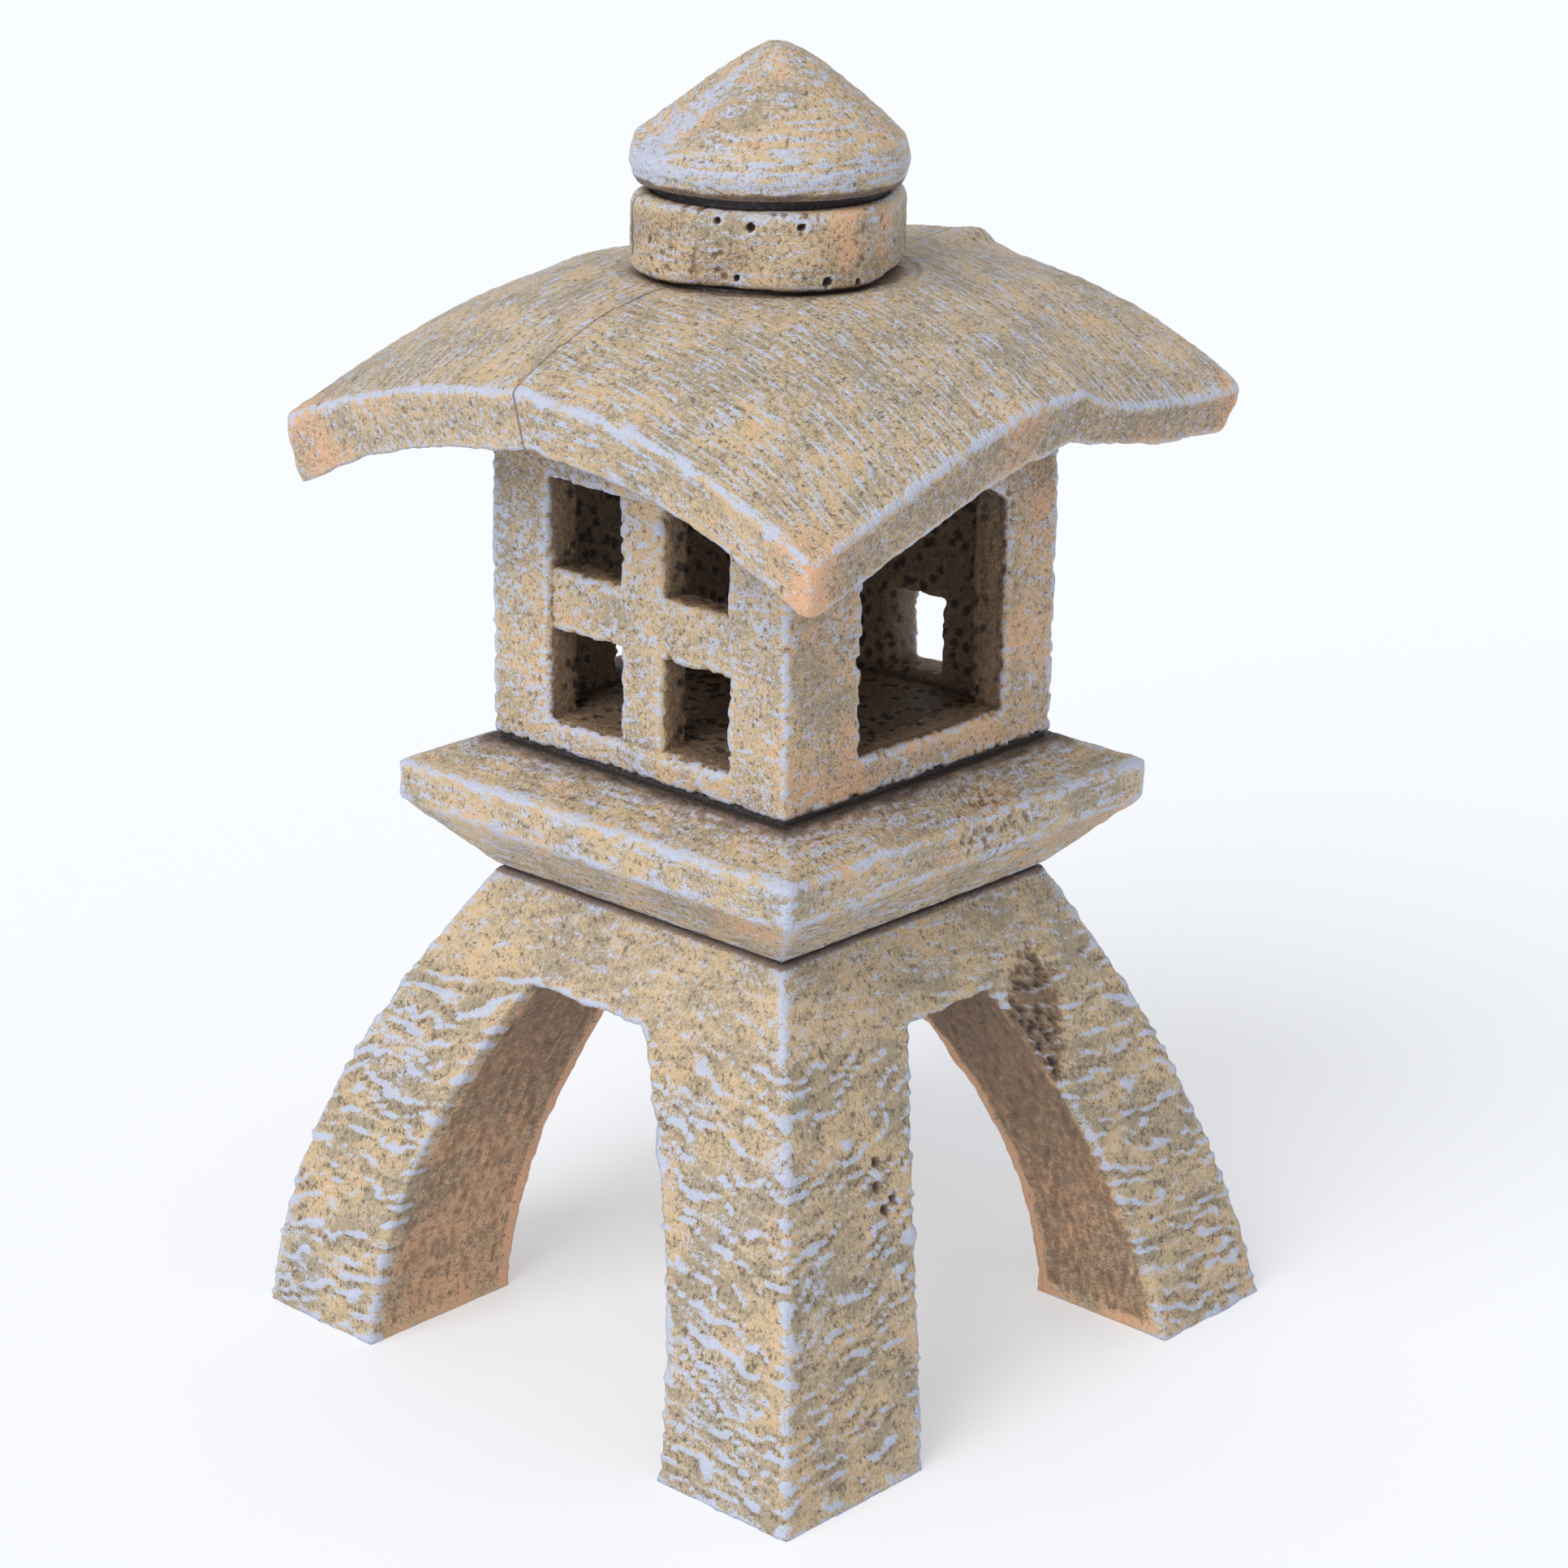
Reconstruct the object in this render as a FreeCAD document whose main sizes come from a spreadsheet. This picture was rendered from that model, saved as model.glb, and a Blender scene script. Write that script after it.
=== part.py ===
"""Stone garden lantern: a stack of cast stones located by steel dowels, bedded on dark setting compound.

Millimetres, +Z up, origin on the ground at the centre of the four feet. -Y is the portal side.
From the ground up: leg base, platform, fire chamber, roof, finial collar, finial cap.
"""
import FreeCAD, Part
import math
import os
import Sketcher

V = FreeCAD.Vector
PARTS = "parts"
SHEET = "Sizes"

# The driving dimensions, in millimetres and degrees.
SIZES = {
    "ground": 0.0,
    "outside": 90.0,            # past every face of the leg base and the chamber
    # leg base: a square bell, its outline the same arc on all four sides, with an arched tunnel each way
    "foot_half": 83.7,          # half the width over the feet
    "leg_top_half": 44.3,       # half the width of the flat top
    "leg_height": 110.0,
    "leg_curve": 274.0,         # radius of the outer side
    "arch_height": 90.2,
    # each side of the two tunnels, cut by hand: distance from the axis at the foot and at the crown, and radius
    "arch_foot_left": 40.8,     # the -X side of the tunnel along Y
    "arch_crown_left": 15.5,
    "arch_curve_left": 272.0,
    "arch_foot_right": 48.3,    # its +X side
    "arch_crown_right": 15.5,
    "arch_curve_right": 204.0,
    "arch_foot_front": 46.7,    # the -Y side of the tunnel along X
    "arch_crown_front": 14.0,
    "arch_curve_front": 128.0,
    "arch_foot_back": 48.5,     # its +Y side
    "arch_crown_back": 22.5,
    "arch_curve_back": 164.0,
    # setting compound between the stones
    "bed_inset": 0.8,           # how far a bed stops short of the stone's edge
    "platform_seam": 0.8,
    "chamber_seam": 1.2,
    "roof_seam": 0.8,
    "collar_seam": 0.8,
    "cap_seam": 2.2,
    "cap_seam_radius": 26.0,
    # platform: a square slab, bevelled below and weathered above
    "platform_half": 60.0,
    "platform_bevel": 16.2,     # rise of the bevel under the slab
    "platform_edge": 8.8,       # height of the upright edge
    "platform_slope": 6.2,      # rise of the weathered top
    "platform_seat_half": 45.7,
    # fire chamber: a square box, open at the top, with a lattice, a portal and two plain windows
    "chamber_half": 44.9,
    "chamber_height": 77.8,
    "chamber_wall": 9.4,
    "chamber_floor": 6.5,
    "pane_width": 21.0,
    "pane_height": 21.5,
    "mullion_half": 6.15,
    "transom_height": 13.5,
    "lattice_recess": 1.5,      # how far the bars stand back from the posts
    "lattice_shift": -1.6,      # the openings were cut by hand, each off the middle of its wall
    "window_half": 9.0,         # half the width of the plain windows
    "window_shift_right": -11.2,  # along Y, in the +X wall
    "window_shift_back": -7.5,  # along X, in the +Y wall
    "portal_half": 24.5,
    "portal_shift": 3.2,
    "portal_sill": 8.5,
    "portal_spring": 58.0,      # height at which the portal's arched head starts
    "portal_curve": 41.5,
    # roof: a thick vaulted slab over a square boss, set slightly askew
    "roof_half": 76.0,
    "roof_crown": 29.7,         # crown above the boss's underside
    "roof_seat": 28.4,          # flat for the collar, above the boss's underside
    "roof_seat_radius": 37.0,
    "crown_flat": 15.0,         # half the level stretch at the crown
    "drop_left": 17.5,          # fall from the crown to the middle of the -X eave
    "drop_right": 8.0,
    "drop_side": 20.5,          # the same for the -Y and +Y eaves
    "eave_depth": 12.5,
    "boss_half": 47.0,
    "roof_twist": 2.8,
    "top_shift_x": -1.6,        # the roof and finial stand a little off the axis
    "top_shift_y": 1.7,
    # finial: an eight-sided collar and a conical cap
    "collar_half": 27.6,
    "collar_flat_half": 15.3,   # half the length of a long side
    "collar_height": 17.4,
    "collar_twist": 26.5,
    "collar_round": 3.0,
    "collar_arris": 1.2,
    "cap_foot_radius": 28.2,
    "cap_rim_radius": 30.0,
    "cap_rim_height": 4.6,
    "cap_shoulder_radius": 28.2,
    "cap_shoulder_height": 10.0,
    "cap_height": 29.4,
    "cap_tip_radius": 5.0,
    "cap_tip_fall": 1.6,
    # dowels: plain steel pins, tight in the lower stone and loose in the upper one
    "platform_pin_radius": 2.5,
    "platform_pin_reach": 26.0,
    "chamber_pin_radius": 2.0,
    "chamber_pin_reach": 39.6,
    "roof_pin_radius": 2.0,
    "finial_pin_radius": 4.0,
    "pin_set": 8.0,             # depth of a pin in the lower stone
    "pin_stand": 7.0,           # height of a pin above the seam
    "pin_clearance": 0.3,
    "pin_headroom": 1.0,
}

doc = FreeCAD.newDocument("stone_lantern")


# ---------------------------------------------------------------- spreadsheet and expressions

def fill_sheet():
    """Write every driving dimension into the spreadsheet under its own alias."""
    sheet = doc.addObject("Spreadsheet::Sheet", SHEET)
    for row, (alias, value) in enumerate(SIZES.items(), start=1):
        sheet.set(f"A{row}", alias.replace("_", " "))
        sheet.set(f"B{row}", str(value))
        sheet.setAlias(f"B{row}", alias)
    doc.recompute()


def amount(terms):
    """The value of a sum of aliases, such as "leg_height + platform_seam" or "- foot_half"."""
    total = 0.0
    sign = 1.0
    for word in terms.split():
        if word in ("+", "-"):
            sign = -1.0 if word == "-" else 1.0
        else:
            total += sign * SIZES[word]
            sign = 1.0
    return total


def bound(terms):
    """The same sum as an expression on the spreadsheet."""
    return " ".join(word if word in ("+", "-") else f"{SHEET}.{word}" for word in terms.split())


def stack(*levels):
    """Join sums of aliases into one sum."""
    return " + ".join(levels)


# ---------------------------------------------------------------- sketches

def new_body(label):
    """A new PartDesign body with its label."""
    body = doc.addObject("PartDesign::Body", label)
    body.Label = label
    return body


def new_sketch(body, name, role, level=None):
    """A sketch on one of the body's origin planes, raised along the plane's normal by a sum of aliases."""
    sketch = body.newObject("Sketcher::SketchObject", f"{body.Name}_{name}")
    origin_plane = next(item for item in body.Origin.OriginFeatures if item.Role == role)
    sketch.AttachmentSupport = [(origin_plane, "")]
    sketch.MapMode = "FlatFace"
    if level:
        sketch.AttachmentOffset = FreeCAD.Placement(V(0, 0, amount(level)), FreeCAD.Rotation())
        sketch.setExpression(".AttachmentOffset.Base.z", bound(level))
    return sketch


def pin_coordinate(sketch, kind, geometry, end, terms):
    """Hold one coordinate of a vertex at a sum of aliases from the sketch's origin."""
    index = sketch.addConstraint(Sketcher.Constraint(kind, -1, 1, geometry, end, amount(terms)))
    sketch.setExpression(f"Constraints[{index}]", bound(terms))


def pin_vertex(sketch, geometry, end, corner):
    """Hold both coordinates of a vertex."""
    pin_coordinate(sketch, "DistanceX", geometry, end, corner[0])
    pin_coordinate(sketch, "DistanceY", geometry, end, corner[1])


def end_at(sketch, geometry, point):
    """Which end of a line or an arc lies at a point: 1 for its start and 2 for its end."""
    start = sketch.Geometry[geometry].StartPoint
    return 1 if start.distanceToPoint(point) < 1e-6 else 2


def arc_about(centre, radius, first, last):
    """The anticlockwise arc about a centre from the first point to the last."""
    begin = math.atan2(first.y - centre.y, first.x - centre.x)
    end = math.atan2(last.y - centre.y, last.x - centre.x)
    if end < begin:
        end += 2 * math.pi
    return Part.ArcOfCircle(Part.Circle(centre, V(0, 0, 1), radius), begin, end)


def arc_between(start, end, radius, side):
    """The short arc between two points, bulging to the left (+1) or the right (-1) of the way."""
    chord = end - start
    left = V(-chord.y, chord.x, 0).normalize()
    reach = math.sqrt(radius ** 2 - (chord.Length / 2) ** 2)
    centre = (start + end) * 0.5 - left * side * reach
    if side > 0:
        return arc_about(centre, radius, end, start)
    return arc_about(centre, radius, start, end)


def draw_outline(sketch, corners, curves=None):
    """Draw a closed outline and bind it to the spreadsheet.

    corners holds a pair of sums of aliases for each vertex. curves gives, for the number of an edge, the
    alias of its arc's radius and +1 or -1 for a bulge to the left or the right of the way round.
    """
    curves = curves or {}
    points = [V(amount(across), amount(up), 0) for across, up in corners]
    first = sketch.GeometryCount
    count = len(points)
    for number, point in enumerate(points):
        following = points[(number + 1) % count]
        if number in curves:
            alias, side = curves[number]
            added = sketch.addGeometry(arc_between(point, following, SIZES[alias], side))
            index = sketch.addConstraint(Sketcher.Constraint("Radius", added, SIZES[alias]))
            sketch.setExpression(f"Constraints[{index}]", bound(alias))
        else:
            added = sketch.addGeometry(Part.LineSegment(point, following))
        pin_vertex(sketch, added, end_at(sketch, added, point), corners[number])
    for number in range(count):
        here = first + number
        there = first + (number + 1) % count
        joint = points[(number + 1) % count]
        ends = (here, end_at(sketch, here, joint), there, end_at(sketch, there, joint))
        sketch.addConstraint(Sketcher.Constraint("Coincident", *ends))


def draw_square(sketch, half):
    """A square centred on the origin, from the alias of half its width."""
    draw_rectangle(sketch, f"- {half}", half, f"- {half}", half)


def draw_rectangle(sketch, left, right, low, high):
    """A rectangle between four sums of aliases."""
    draw_outline(sketch, [(left, low), (right, low), (right, high), (left, high)])


def draw_circle(sketch, radius, centre=None):
    """A circle bound to a sum of aliases, at the origin or at a pair of sums."""
    place = V(amount(centre[0]), amount(centre[1]), 0) if centre else V(0, 0, 0)
    added = sketch.addGeometry(Part.Circle(place, V(0, 0, 1), amount(radius)))
    index = sketch.addConstraint(Sketcher.Constraint("Radius", added, amount(radius)))
    sketch.setExpression(f"Constraints[{index}]", bound(radius))
    if centre:
        pin_vertex(sketch, added, 3, centre)
    else:
        sketch.addConstraint(Sketcher.Constraint("Coincident", added, 3, -1, 1))


# ---------------------------------------------------------------- features

def pad(body, sketch, length, midplane=False):
    """Extrude a sketch by a sum of aliases."""
    feature = body.newObject("PartDesign::Pad", f"{sketch.Name}_pad")
    feature.Profile = sketch
    feature.Length = amount(length)
    feature.setExpression("Length", bound(length))
    feature.Midplane = midplane
    return feature


def pocket(body, sketch, length, reverse=False, midplane=False):
    """Cut a sketch into the body, against its normal unless reversed, and check that it removed stone."""
    doc.recompute()
    before = body.Shape.Volume
    feature = body.newObject("PartDesign::Pocket", f"{sketch.Name}_pocket")
    feature.Profile = sketch
    feature.Length = amount(length)
    feature.setExpression("Length", bound(length))
    feature.Reversed = reverse
    feature.Midplane = midplane
    doc.recompute()
    if body.Shape.Volume > before - 0.1:
        raise RuntimeError(f"{feature.Name} cut nothing")
    return feature


def cut_holes(body, name, level, radius, depth, centres=None, upward=False):
    """Round holes of one depth, cut down from a level, or up from it."""
    sketch = new_sketch(body, name, "XY_Plane", level)
    for centre in centres or [None]:
        draw_circle(sketch, radius, centre)
    pocket(body, sketch, depth, reverse=upward)


def set_place(item, height, shift=False, twist=None):
    """Stand a sub-part at a height, with the roof's shift off the axis and a turn about +Z."""
    item.Placement = FreeCAD.Placement(V(0, 0, 0), FreeCAD.Rotation(V(0, 0, 1), amount(twist) if twist else 0.0))
    item.setExpression(".Placement.Base.z", bound(height))
    if shift:
        item.setExpression(".Placement.Base.x", bound("top_shift_x"))
        item.setExpression(".Placement.Base.y", bound("top_shift_y"))
    if twist:
        item.setExpression(".Placement.Rotation.Angle", bound(twist))


def four_corners(reach):
    """The four corners of a square of a given half width."""
    return [(reach, reach), (f"- {reach}", reach), (f"- {reach}", f"- {reach}"), (reach, f"- {reach}")]


def two_corners(reach):
    """Two opposite corners of the same square."""
    return four_corners(reach)[::2]


# ---------------------------------------------------------------- levels of the stack

PLATFORM_BASE = stack("leg_height", "platform_seam")
PLATFORM_TOP = stack("platform_bevel", "platform_edge", "platform_slope")
CHAMBER_BED_BASE = stack(PLATFORM_BASE, PLATFORM_TOP)
CHAMBER_BASE = stack(CHAMBER_BED_BASE, "chamber_seam")
ROOF_BED_BASE = stack(CHAMBER_BASE, "chamber_height")
ROOF_BASE = stack(ROOF_BED_BASE, "roof_seam")
COLLAR_BED_BASE = stack(ROOF_BASE, "roof_seat")
COLLAR_BASE = stack(COLLAR_BED_BASE, "collar_seam")
CAP_BED_BASE = stack(COLLAR_BASE, "collar_height")
CAP_BASE = stack(CAP_BED_BASE, "cap_seam")


# ---------------------------------------------------------------- stones

def tunnel(low_side, high_side):
    """The corners of the opening between two tunnel sides, from one foot over the crown to the other."""
    return [(f"- arch_foot_{low_side}", "ground"), (f"- arch_crown_{low_side}", "arch_height"),
            (f"arch_crown_{high_side}", "arch_height"), (f"arch_foot_{high_side}", "ground")]


def make_leg_base():
    """The four legs and the block they grow from, one casting."""
    body = new_body("leg_base")
    front = new_sketch(body, "front", "XZ_Plane")
    outline = [("- foot_half", "ground"), ("- leg_top_half", "leg_height"),
               ("leg_top_half", "leg_height"), ("foot_half", "ground")]
    draw_outline(front, outline + tunnel("left", "right")[::-1],
                 {0: ("leg_curve", 1), 2: ("leg_curve", 1),
                  4: ("arch_curve_right", -1), 6: ("arch_curve_left", -1)})
    pad(body, front, "foot_half + foot_half", midplane=True)

    side = new_sketch(body, "side", "YZ_Plane")
    draw_outline(side, tunnel("front", "back"), {0: ("arch_curve_front", 1), 2: ("arch_curve_back", 1)})
    draw_outline(side, [("foot_half", "ground"), ("outside", "ground"), ("outside", "leg_height"),
                        ("leg_top_half", "leg_height")], {3: ("leg_curve", 1)})
    draw_outline(side, [("- foot_half", "ground"), ("- leg_top_half", "leg_height"),
                        ("- outside", "leg_height"), ("- outside", "ground")], {0: ("leg_curve", 1)})
    pocket(body, side, "outside + outside", midplane=True)
    cut_holes(body, "sockets", "leg_height", "platform_pin_radius", "pin_set", four_corners("platform_pin_reach"))
    return body


def make_platform():
    """The square slab: a bevel, an upright edge and a weathered top, in three lofted lifts."""
    body = new_body("platform")
    levels = [("foot", "ground", "leg_top_half"),
              ("arris_low", "platform_bevel", "platform_half"),
              ("arris_high", "platform_bevel + platform_edge", "platform_half"),
              ("seat", PLATFORM_TOP, "platform_seat_half")]
    squares = []
    for name, level, half in levels:
        square = new_sketch(body, name, "XY_Plane", level)
        draw_square(square, half)
        squares.append(square)
    loft = body.newObject("PartDesign::AdditiveLoft", "platform_loft")
    loft.Profile = squares[0]
    loft.Sections = squares[1:]
    loft.Ruled = True
    loose = "platform_pin_radius + pin_clearance"
    cut_holes(body, "sockets_below", "ground", loose, "pin_stand + pin_headroom",
              four_corners("platform_pin_reach"), upward=True)
    cut_holes(body, "sockets_above", PLATFORM_TOP, "chamber_pin_radius", "pin_set",
              four_corners("chamber_pin_reach"))
    set_place(body, PLATFORM_BASE)
    return body


def pane_rows():
    """The low and high level of each row of panes."""
    low = "chamber_floor"
    low_top = stack(low, "pane_height")
    high = stack(low_top, "transom_height")
    return [(low, low_top), (high, stack(high, "pane_height"))]


def cut_lattice(body):
    """Four panes through the -X wall, and the bars' faces set back from the posts."""
    left = "lattice_shift - mullion_half - pane_width"
    right = "lattice_shift + mullion_half + pane_width"
    recess = new_sketch(body, "recess", "YZ_Plane", "- chamber_half")
    draw_rectangle(recess, left, right, "chamber_floor", pane_rows()[-1][1])
    pocket(body, recess, "lattice_recess", reverse=True)
    panes = new_sketch(body, "panes", "YZ_Plane", "- chamber_half")
    for low, high in pane_rows():
        draw_rectangle(panes, left, "lattice_shift - mullion_half", low, high)
        draw_rectangle(panes, "lattice_shift + mullion_half", right, low, high)
    pocket(body, panes, "chamber_wall", reverse=True)


def cut_window(body, side, plane, face, centre, reverse=False):
    """One plain window through a wall, as high as the lower panes and level with the floor."""
    window = new_sketch(body, f"window_{side}", plane, face)
    draw_rectangle(window, f"{centre} - window_half", f"{centre} + window_half", *pane_rows()[0])
    pocket(body, window, "chamber_wall", reverse=reverse)


def make_fire_chamber():
    """The light box: four walls and a floor, with a lattice on -X, a portal on -Y and a window in each other wall."""
    body = new_body("fire_chamber")
    plan = new_sketch(body, "plan", "XY_Plane")
    draw_square(plan, "chamber_half")
    pad(body, plan, "chamber_height")
    cavity = new_sketch(body, "cavity", "XY_Plane", "chamber_height")
    inner = "chamber_half - chamber_wall"
    outer_left = "chamber_wall - chamber_half"
    draw_rectangle(cavity, outer_left, inner, outer_left, inner)
    pocket(body, cavity, "chamber_height - chamber_floor")
    cut_lattice(body)
    cut_window(body, "right", "YZ_Plane", "chamber_half", "window_shift_right")
    cut_window(body, "back", "XZ_Plane", "- chamber_half", "window_shift_back", reverse=True)
    portal = new_sketch(body, "portal", "XZ_Plane", "chamber_half")
    left = "portal_shift - portal_half"
    right = "portal_shift + portal_half"
    draw_outline(portal, [(left, "portal_sill"), (left, "portal_spring"), (right, "portal_spring"),
                          (right, "portal_sill")], {1: ("portal_curve", 1)})
    pocket(body, portal, "chamber_wall")
    loose = "chamber_pin_radius + pin_clearance"
    cut_holes(body, "sockets_below", "ground", loose, "pin_stand + pin_headroom",
              four_corners("chamber_pin_reach"), upward=True)
    cut_holes(body, "sockets_above", "chamber_height", "roof_pin_radius", "pin_set",
              two_corners("chamber_pin_reach"))
    set_place(body, CHAMBER_BASE)
    return body


def tangent_arc(start, end):
    """The arc that leaves a level line at start and falls to end."""
    run = abs(end.x - start.x)
    fall = start.y - end.y
    radius = (run ** 2 + fall ** 2) / (2 * fall)
    centre = start - V(0, radius, 0)
    if end.x > start.x:
        return arc_about(centre, radius, end, start)
    return arc_about(centre, radius, start, end)


def draw_vault(sketch, crown, left_drop, right_drop):
    """A level crown with a tangent arc falling on each side. Returns the three edges, left to right."""
    flat = SIZES["crown_flat"]
    half = SIZES["roof_half"]
    level = amount(crown)
    left = sketch.addGeometry(tangent_arc(V(-flat, level, 0), V(-half, level - SIZES[left_drop], 0)))
    middle = sketch.addGeometry(Part.LineSegment(V(-flat, level, 0), V(flat, level, 0)))
    right = sketch.addGeometry(tangent_arc(V(flat, level, 0), V(half, level - SIZES[right_drop], 0)))
    pin_vertex(sketch, middle, 1, ("- crown_flat", crown))
    pin_vertex(sketch, middle, 2, ("crown_flat", crown))
    for arc, inner, side, drop in ((left, 1, "- roof_half", left_drop), (right, 2, "roof_half", right_drop)):
        joint = V(-flat if arc == left else flat, level, 0)
        near = end_at(sketch, arc, joint)
        sketch.addConstraint(Sketcher.Constraint("Tangent", arc, near, middle, inner))
        pin_vertex(sketch, arc, 3 - near, (side, f"{crown} - {drop}"))
    return left, middle, right


def make_roof():
    """The vaulted roof: an arched slab carried along an arched line, on a square boss that sits on the chamber."""
    body = new_body("roof")
    spine = new_sketch(body, "spine", "XZ_Plane")
    draw_vault(spine, "roof_crown", "drop_left", "drop_right")
    section = new_sketch(body, "section", "YZ_Plane")
    top = draw_vault(section, "roof_crown", "drop_side", "drop_side")
    below = draw_vault(section, "roof_crown - eave_depth", "drop_side", "drop_side")
    for number, side in ((0, -1), (2, 1)):
        upper = V(side * SIZES["roof_half"], amount("roof_crown - drop_side"), 0)
        lower = upper - V(0, SIZES["eave_depth"], 0)
        fascia = section.addGeometry(Part.LineSegment(upper, lower))
        top_end = (top[number], end_at(section, top[number], upper))
        low_end = (below[number], end_at(section, below[number], lower))
        section.addConstraint(Sketcher.Constraint("Coincident", fascia, 1, *top_end))
        section.addConstraint(Sketcher.Constraint("Coincident", fascia, 2, *low_end))
    slab = body.newObject("PartDesign::AdditivePipe", "roof_slab")
    slab.Profile = section
    slab.Spine = (spine, [])
    slab.Mode = "Fixed"
    boss = new_sketch(body, "boss", "XY_Plane")
    draw_square(boss, "boss_half")
    pad(body, boss, "roof_crown - eave_depth")
    seat = new_sketch(body, "seat", "XY_Plane", "roof_crown")
    draw_circle(seat, "roof_seat_radius")
    pocket(body, seat, "roof_crown - roof_seat")
    # the boss turns with the roof, so its sockets are turned back to meet the chamber's pins
    sockets = new_sketch(body, "sockets_below", "XY_Plane")
    for across, along in roof_pin_places():
        centre = sockets.addGeometry(Part.Circle(V(across, along, 0), V(0, 0, 1),
                                                 amount("roof_pin_radius + pin_clearance")))
        index = sockets.addConstraint(
            Sketcher.Constraint("Radius", centre, amount("roof_pin_radius + pin_clearance")))
        sockets.setExpression(f"Constraints[{index}]", bound("roof_pin_radius + pin_clearance"))
    pocket(body, sockets, "pin_stand + pin_headroom", reverse=True)
    cut_holes(body, "socket_above", "roof_seat", "finial_pin_radius", "pin_set")
    set_place(body, ROOF_BASE, shift=True, twist="roof_twist")
    return body


def roof_pin_places():
    """The chamber's two upper pins, in the roof's own shifted and turned frame."""
    turn = FreeCAD.Rotation(V(0, 0, 1), -SIZES["roof_twist"])
    places = []
    for across, along in two_corners("chamber_pin_reach"):
        place = V(amount(across) - SIZES["top_shift_x"], amount(along) - SIZES["top_shift_y"], 0)
        turned = turn.multVec(place)
        places.append((turned.x, turned.y))
    return places


def make_finial_collar():
    """The eight-sided collar: a square with wide chamfers and rounded arrises."""
    body = new_body("finial_collar")
    plan = new_sketch(body, "plan", "XY_Plane")
    half, flat = "collar_half", "collar_flat_half"
    draw_outline(plan, [(half, f"- {flat}"), (half, flat), (flat, half), (f"- {flat}", half),
                        (f"- {half}", flat), (f"- {half}", f"- {flat}"), (f"- {flat}", f"- {half}"),
                        (flat, f"- {half}")])
    block = pad(body, plan, "collar_height")
    doc.recompute()
    uprights = [f"Edge{number}" for number, edge in enumerate(block.Shape.Edges, start=1)
                if abs(edge.BoundBox.ZLength - SIZES["collar_height"]) < 1e-6]
    rounding = body.newObject("PartDesign::Fillet", "collar_rounding")
    rounding.Base = (block, uprights)
    rounding.Radius = SIZES["collar_round"]
    rounding.setExpression("Radius", bound("collar_round"))
    doc.recompute()
    rims = [f"Edge{number}" for number, edge in enumerate(rounding.Shape.Edges, start=1)
            if edge.BoundBox.ZLength < 1e-6]
    arris = body.newObject("PartDesign::Chamfer", "collar_arris")
    arris.Base = (rounding, rims)
    arris.Size = SIZES["collar_arris"]
    arris.setExpression("Size", bound("collar_arris"))
    loose = "finial_pin_radius + pin_clearance"
    cut_holes(body, "socket_below", "ground", loose, "pin_stand + pin_headroom", upward=True)
    cut_holes(body, "socket_above", "collar_height", "finial_pin_radius", "pin_set")
    set_place(body, COLLAR_BASE, shift=True, twist="collar_twist")
    return body


def make_finial_cap():
    """The conical cap: an undercut foot, a rounded rim, a straight slope and a blunt tip."""
    body = new_body("finial_cap")
    profile = new_sketch(body, "profile", "XZ_Plane")
    draw_outline(profile, [("ground", "ground"), ("cap_foot_radius", "ground"),
                           ("cap_rim_radius", "cap_rim_height"), ("cap_shoulder_radius", "cap_shoulder_height"),
                           ("cap_tip_radius", "cap_height - cap_tip_fall"), ("ground", "cap_height")])
    spin = body.newObject("PartDesign::Revolution", "finial_cap_turned")
    spin.Profile = profile
    spin.ReferenceAxis = (profile, ["V_Axis"])
    spin.Angle = 360.0
    cut_holes(body, "socket_below", "ground", "finial_pin_radius + pin_clearance",
              "pin_stand + pin_headroom + cap_seam", upward=True)
    set_place(body, CAP_BASE, shift=True)
    return body


# ---------------------------------------------------------------- setting compound and dowels

def make_bed(label, half, thickness, base, holes, hollow=None):
    """A square sheet of setting compound, with holes for the dowels and an opening where it is a ring."""
    body = new_body(label)
    plan = new_sketch(body, "plan", "XY_Plane")
    draw_rectangle(plan, f"bed_inset - {half}", f"{half} - bed_inset", f"bed_inset - {half}", f"{half} - bed_inset")
    if hollow:
        draw_rectangle(plan, f"- {hollow[0]} + {hollow[1]} - bed_inset", f"{hollow[0]} - {hollow[1]} + bed_inset",
                       f"- {hollow[0]} + {hollow[1]} - bed_inset", f"{hollow[0]} - {hollow[1]} + bed_inset")
    pad(body, plan, thickness)
    cut_holes(body, "holes", thickness, holes[0], thickness, holes[1])
    set_place(body, base)
    return body


def make_round_bed(label, radius, thickness, base, hole):
    """A round sheet of setting compound about a central dowel."""
    body = new_body(label)
    plan = new_sketch(body, "plan", "XY_Plane")
    draw_circle(plan, radius)
    draw_circle(plan, hole)
    pad(body, plan, thickness)
    set_place(body, base, shift=True)
    return body


def make_dowels(label, radius, seam, top, centres, shift=False):
    """Plain steel pins, each set in the stone whose top is given and standing above the seam."""
    pins = []
    for number, (across, along) in enumerate(centres, start=1):
        pin = doc.addObject("Part::Cylinder", f"{label}_{number}")
        pin.setExpression("Radius", bound(radius))
        pin.setExpression("Height", bound(f"pin_set + {seam} + pin_stand"))
        pin.setExpression(".Placement.Base.x", bound(across))
        pin.setExpression(".Placement.Base.y", bound(along))
        pins.append(pin)
    group = doc.addObject("Part::Compound", label)
    group.Label = label
    group.Links = pins
    set_place(group, f"{top} - pin_set", shift)
    return group


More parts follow.
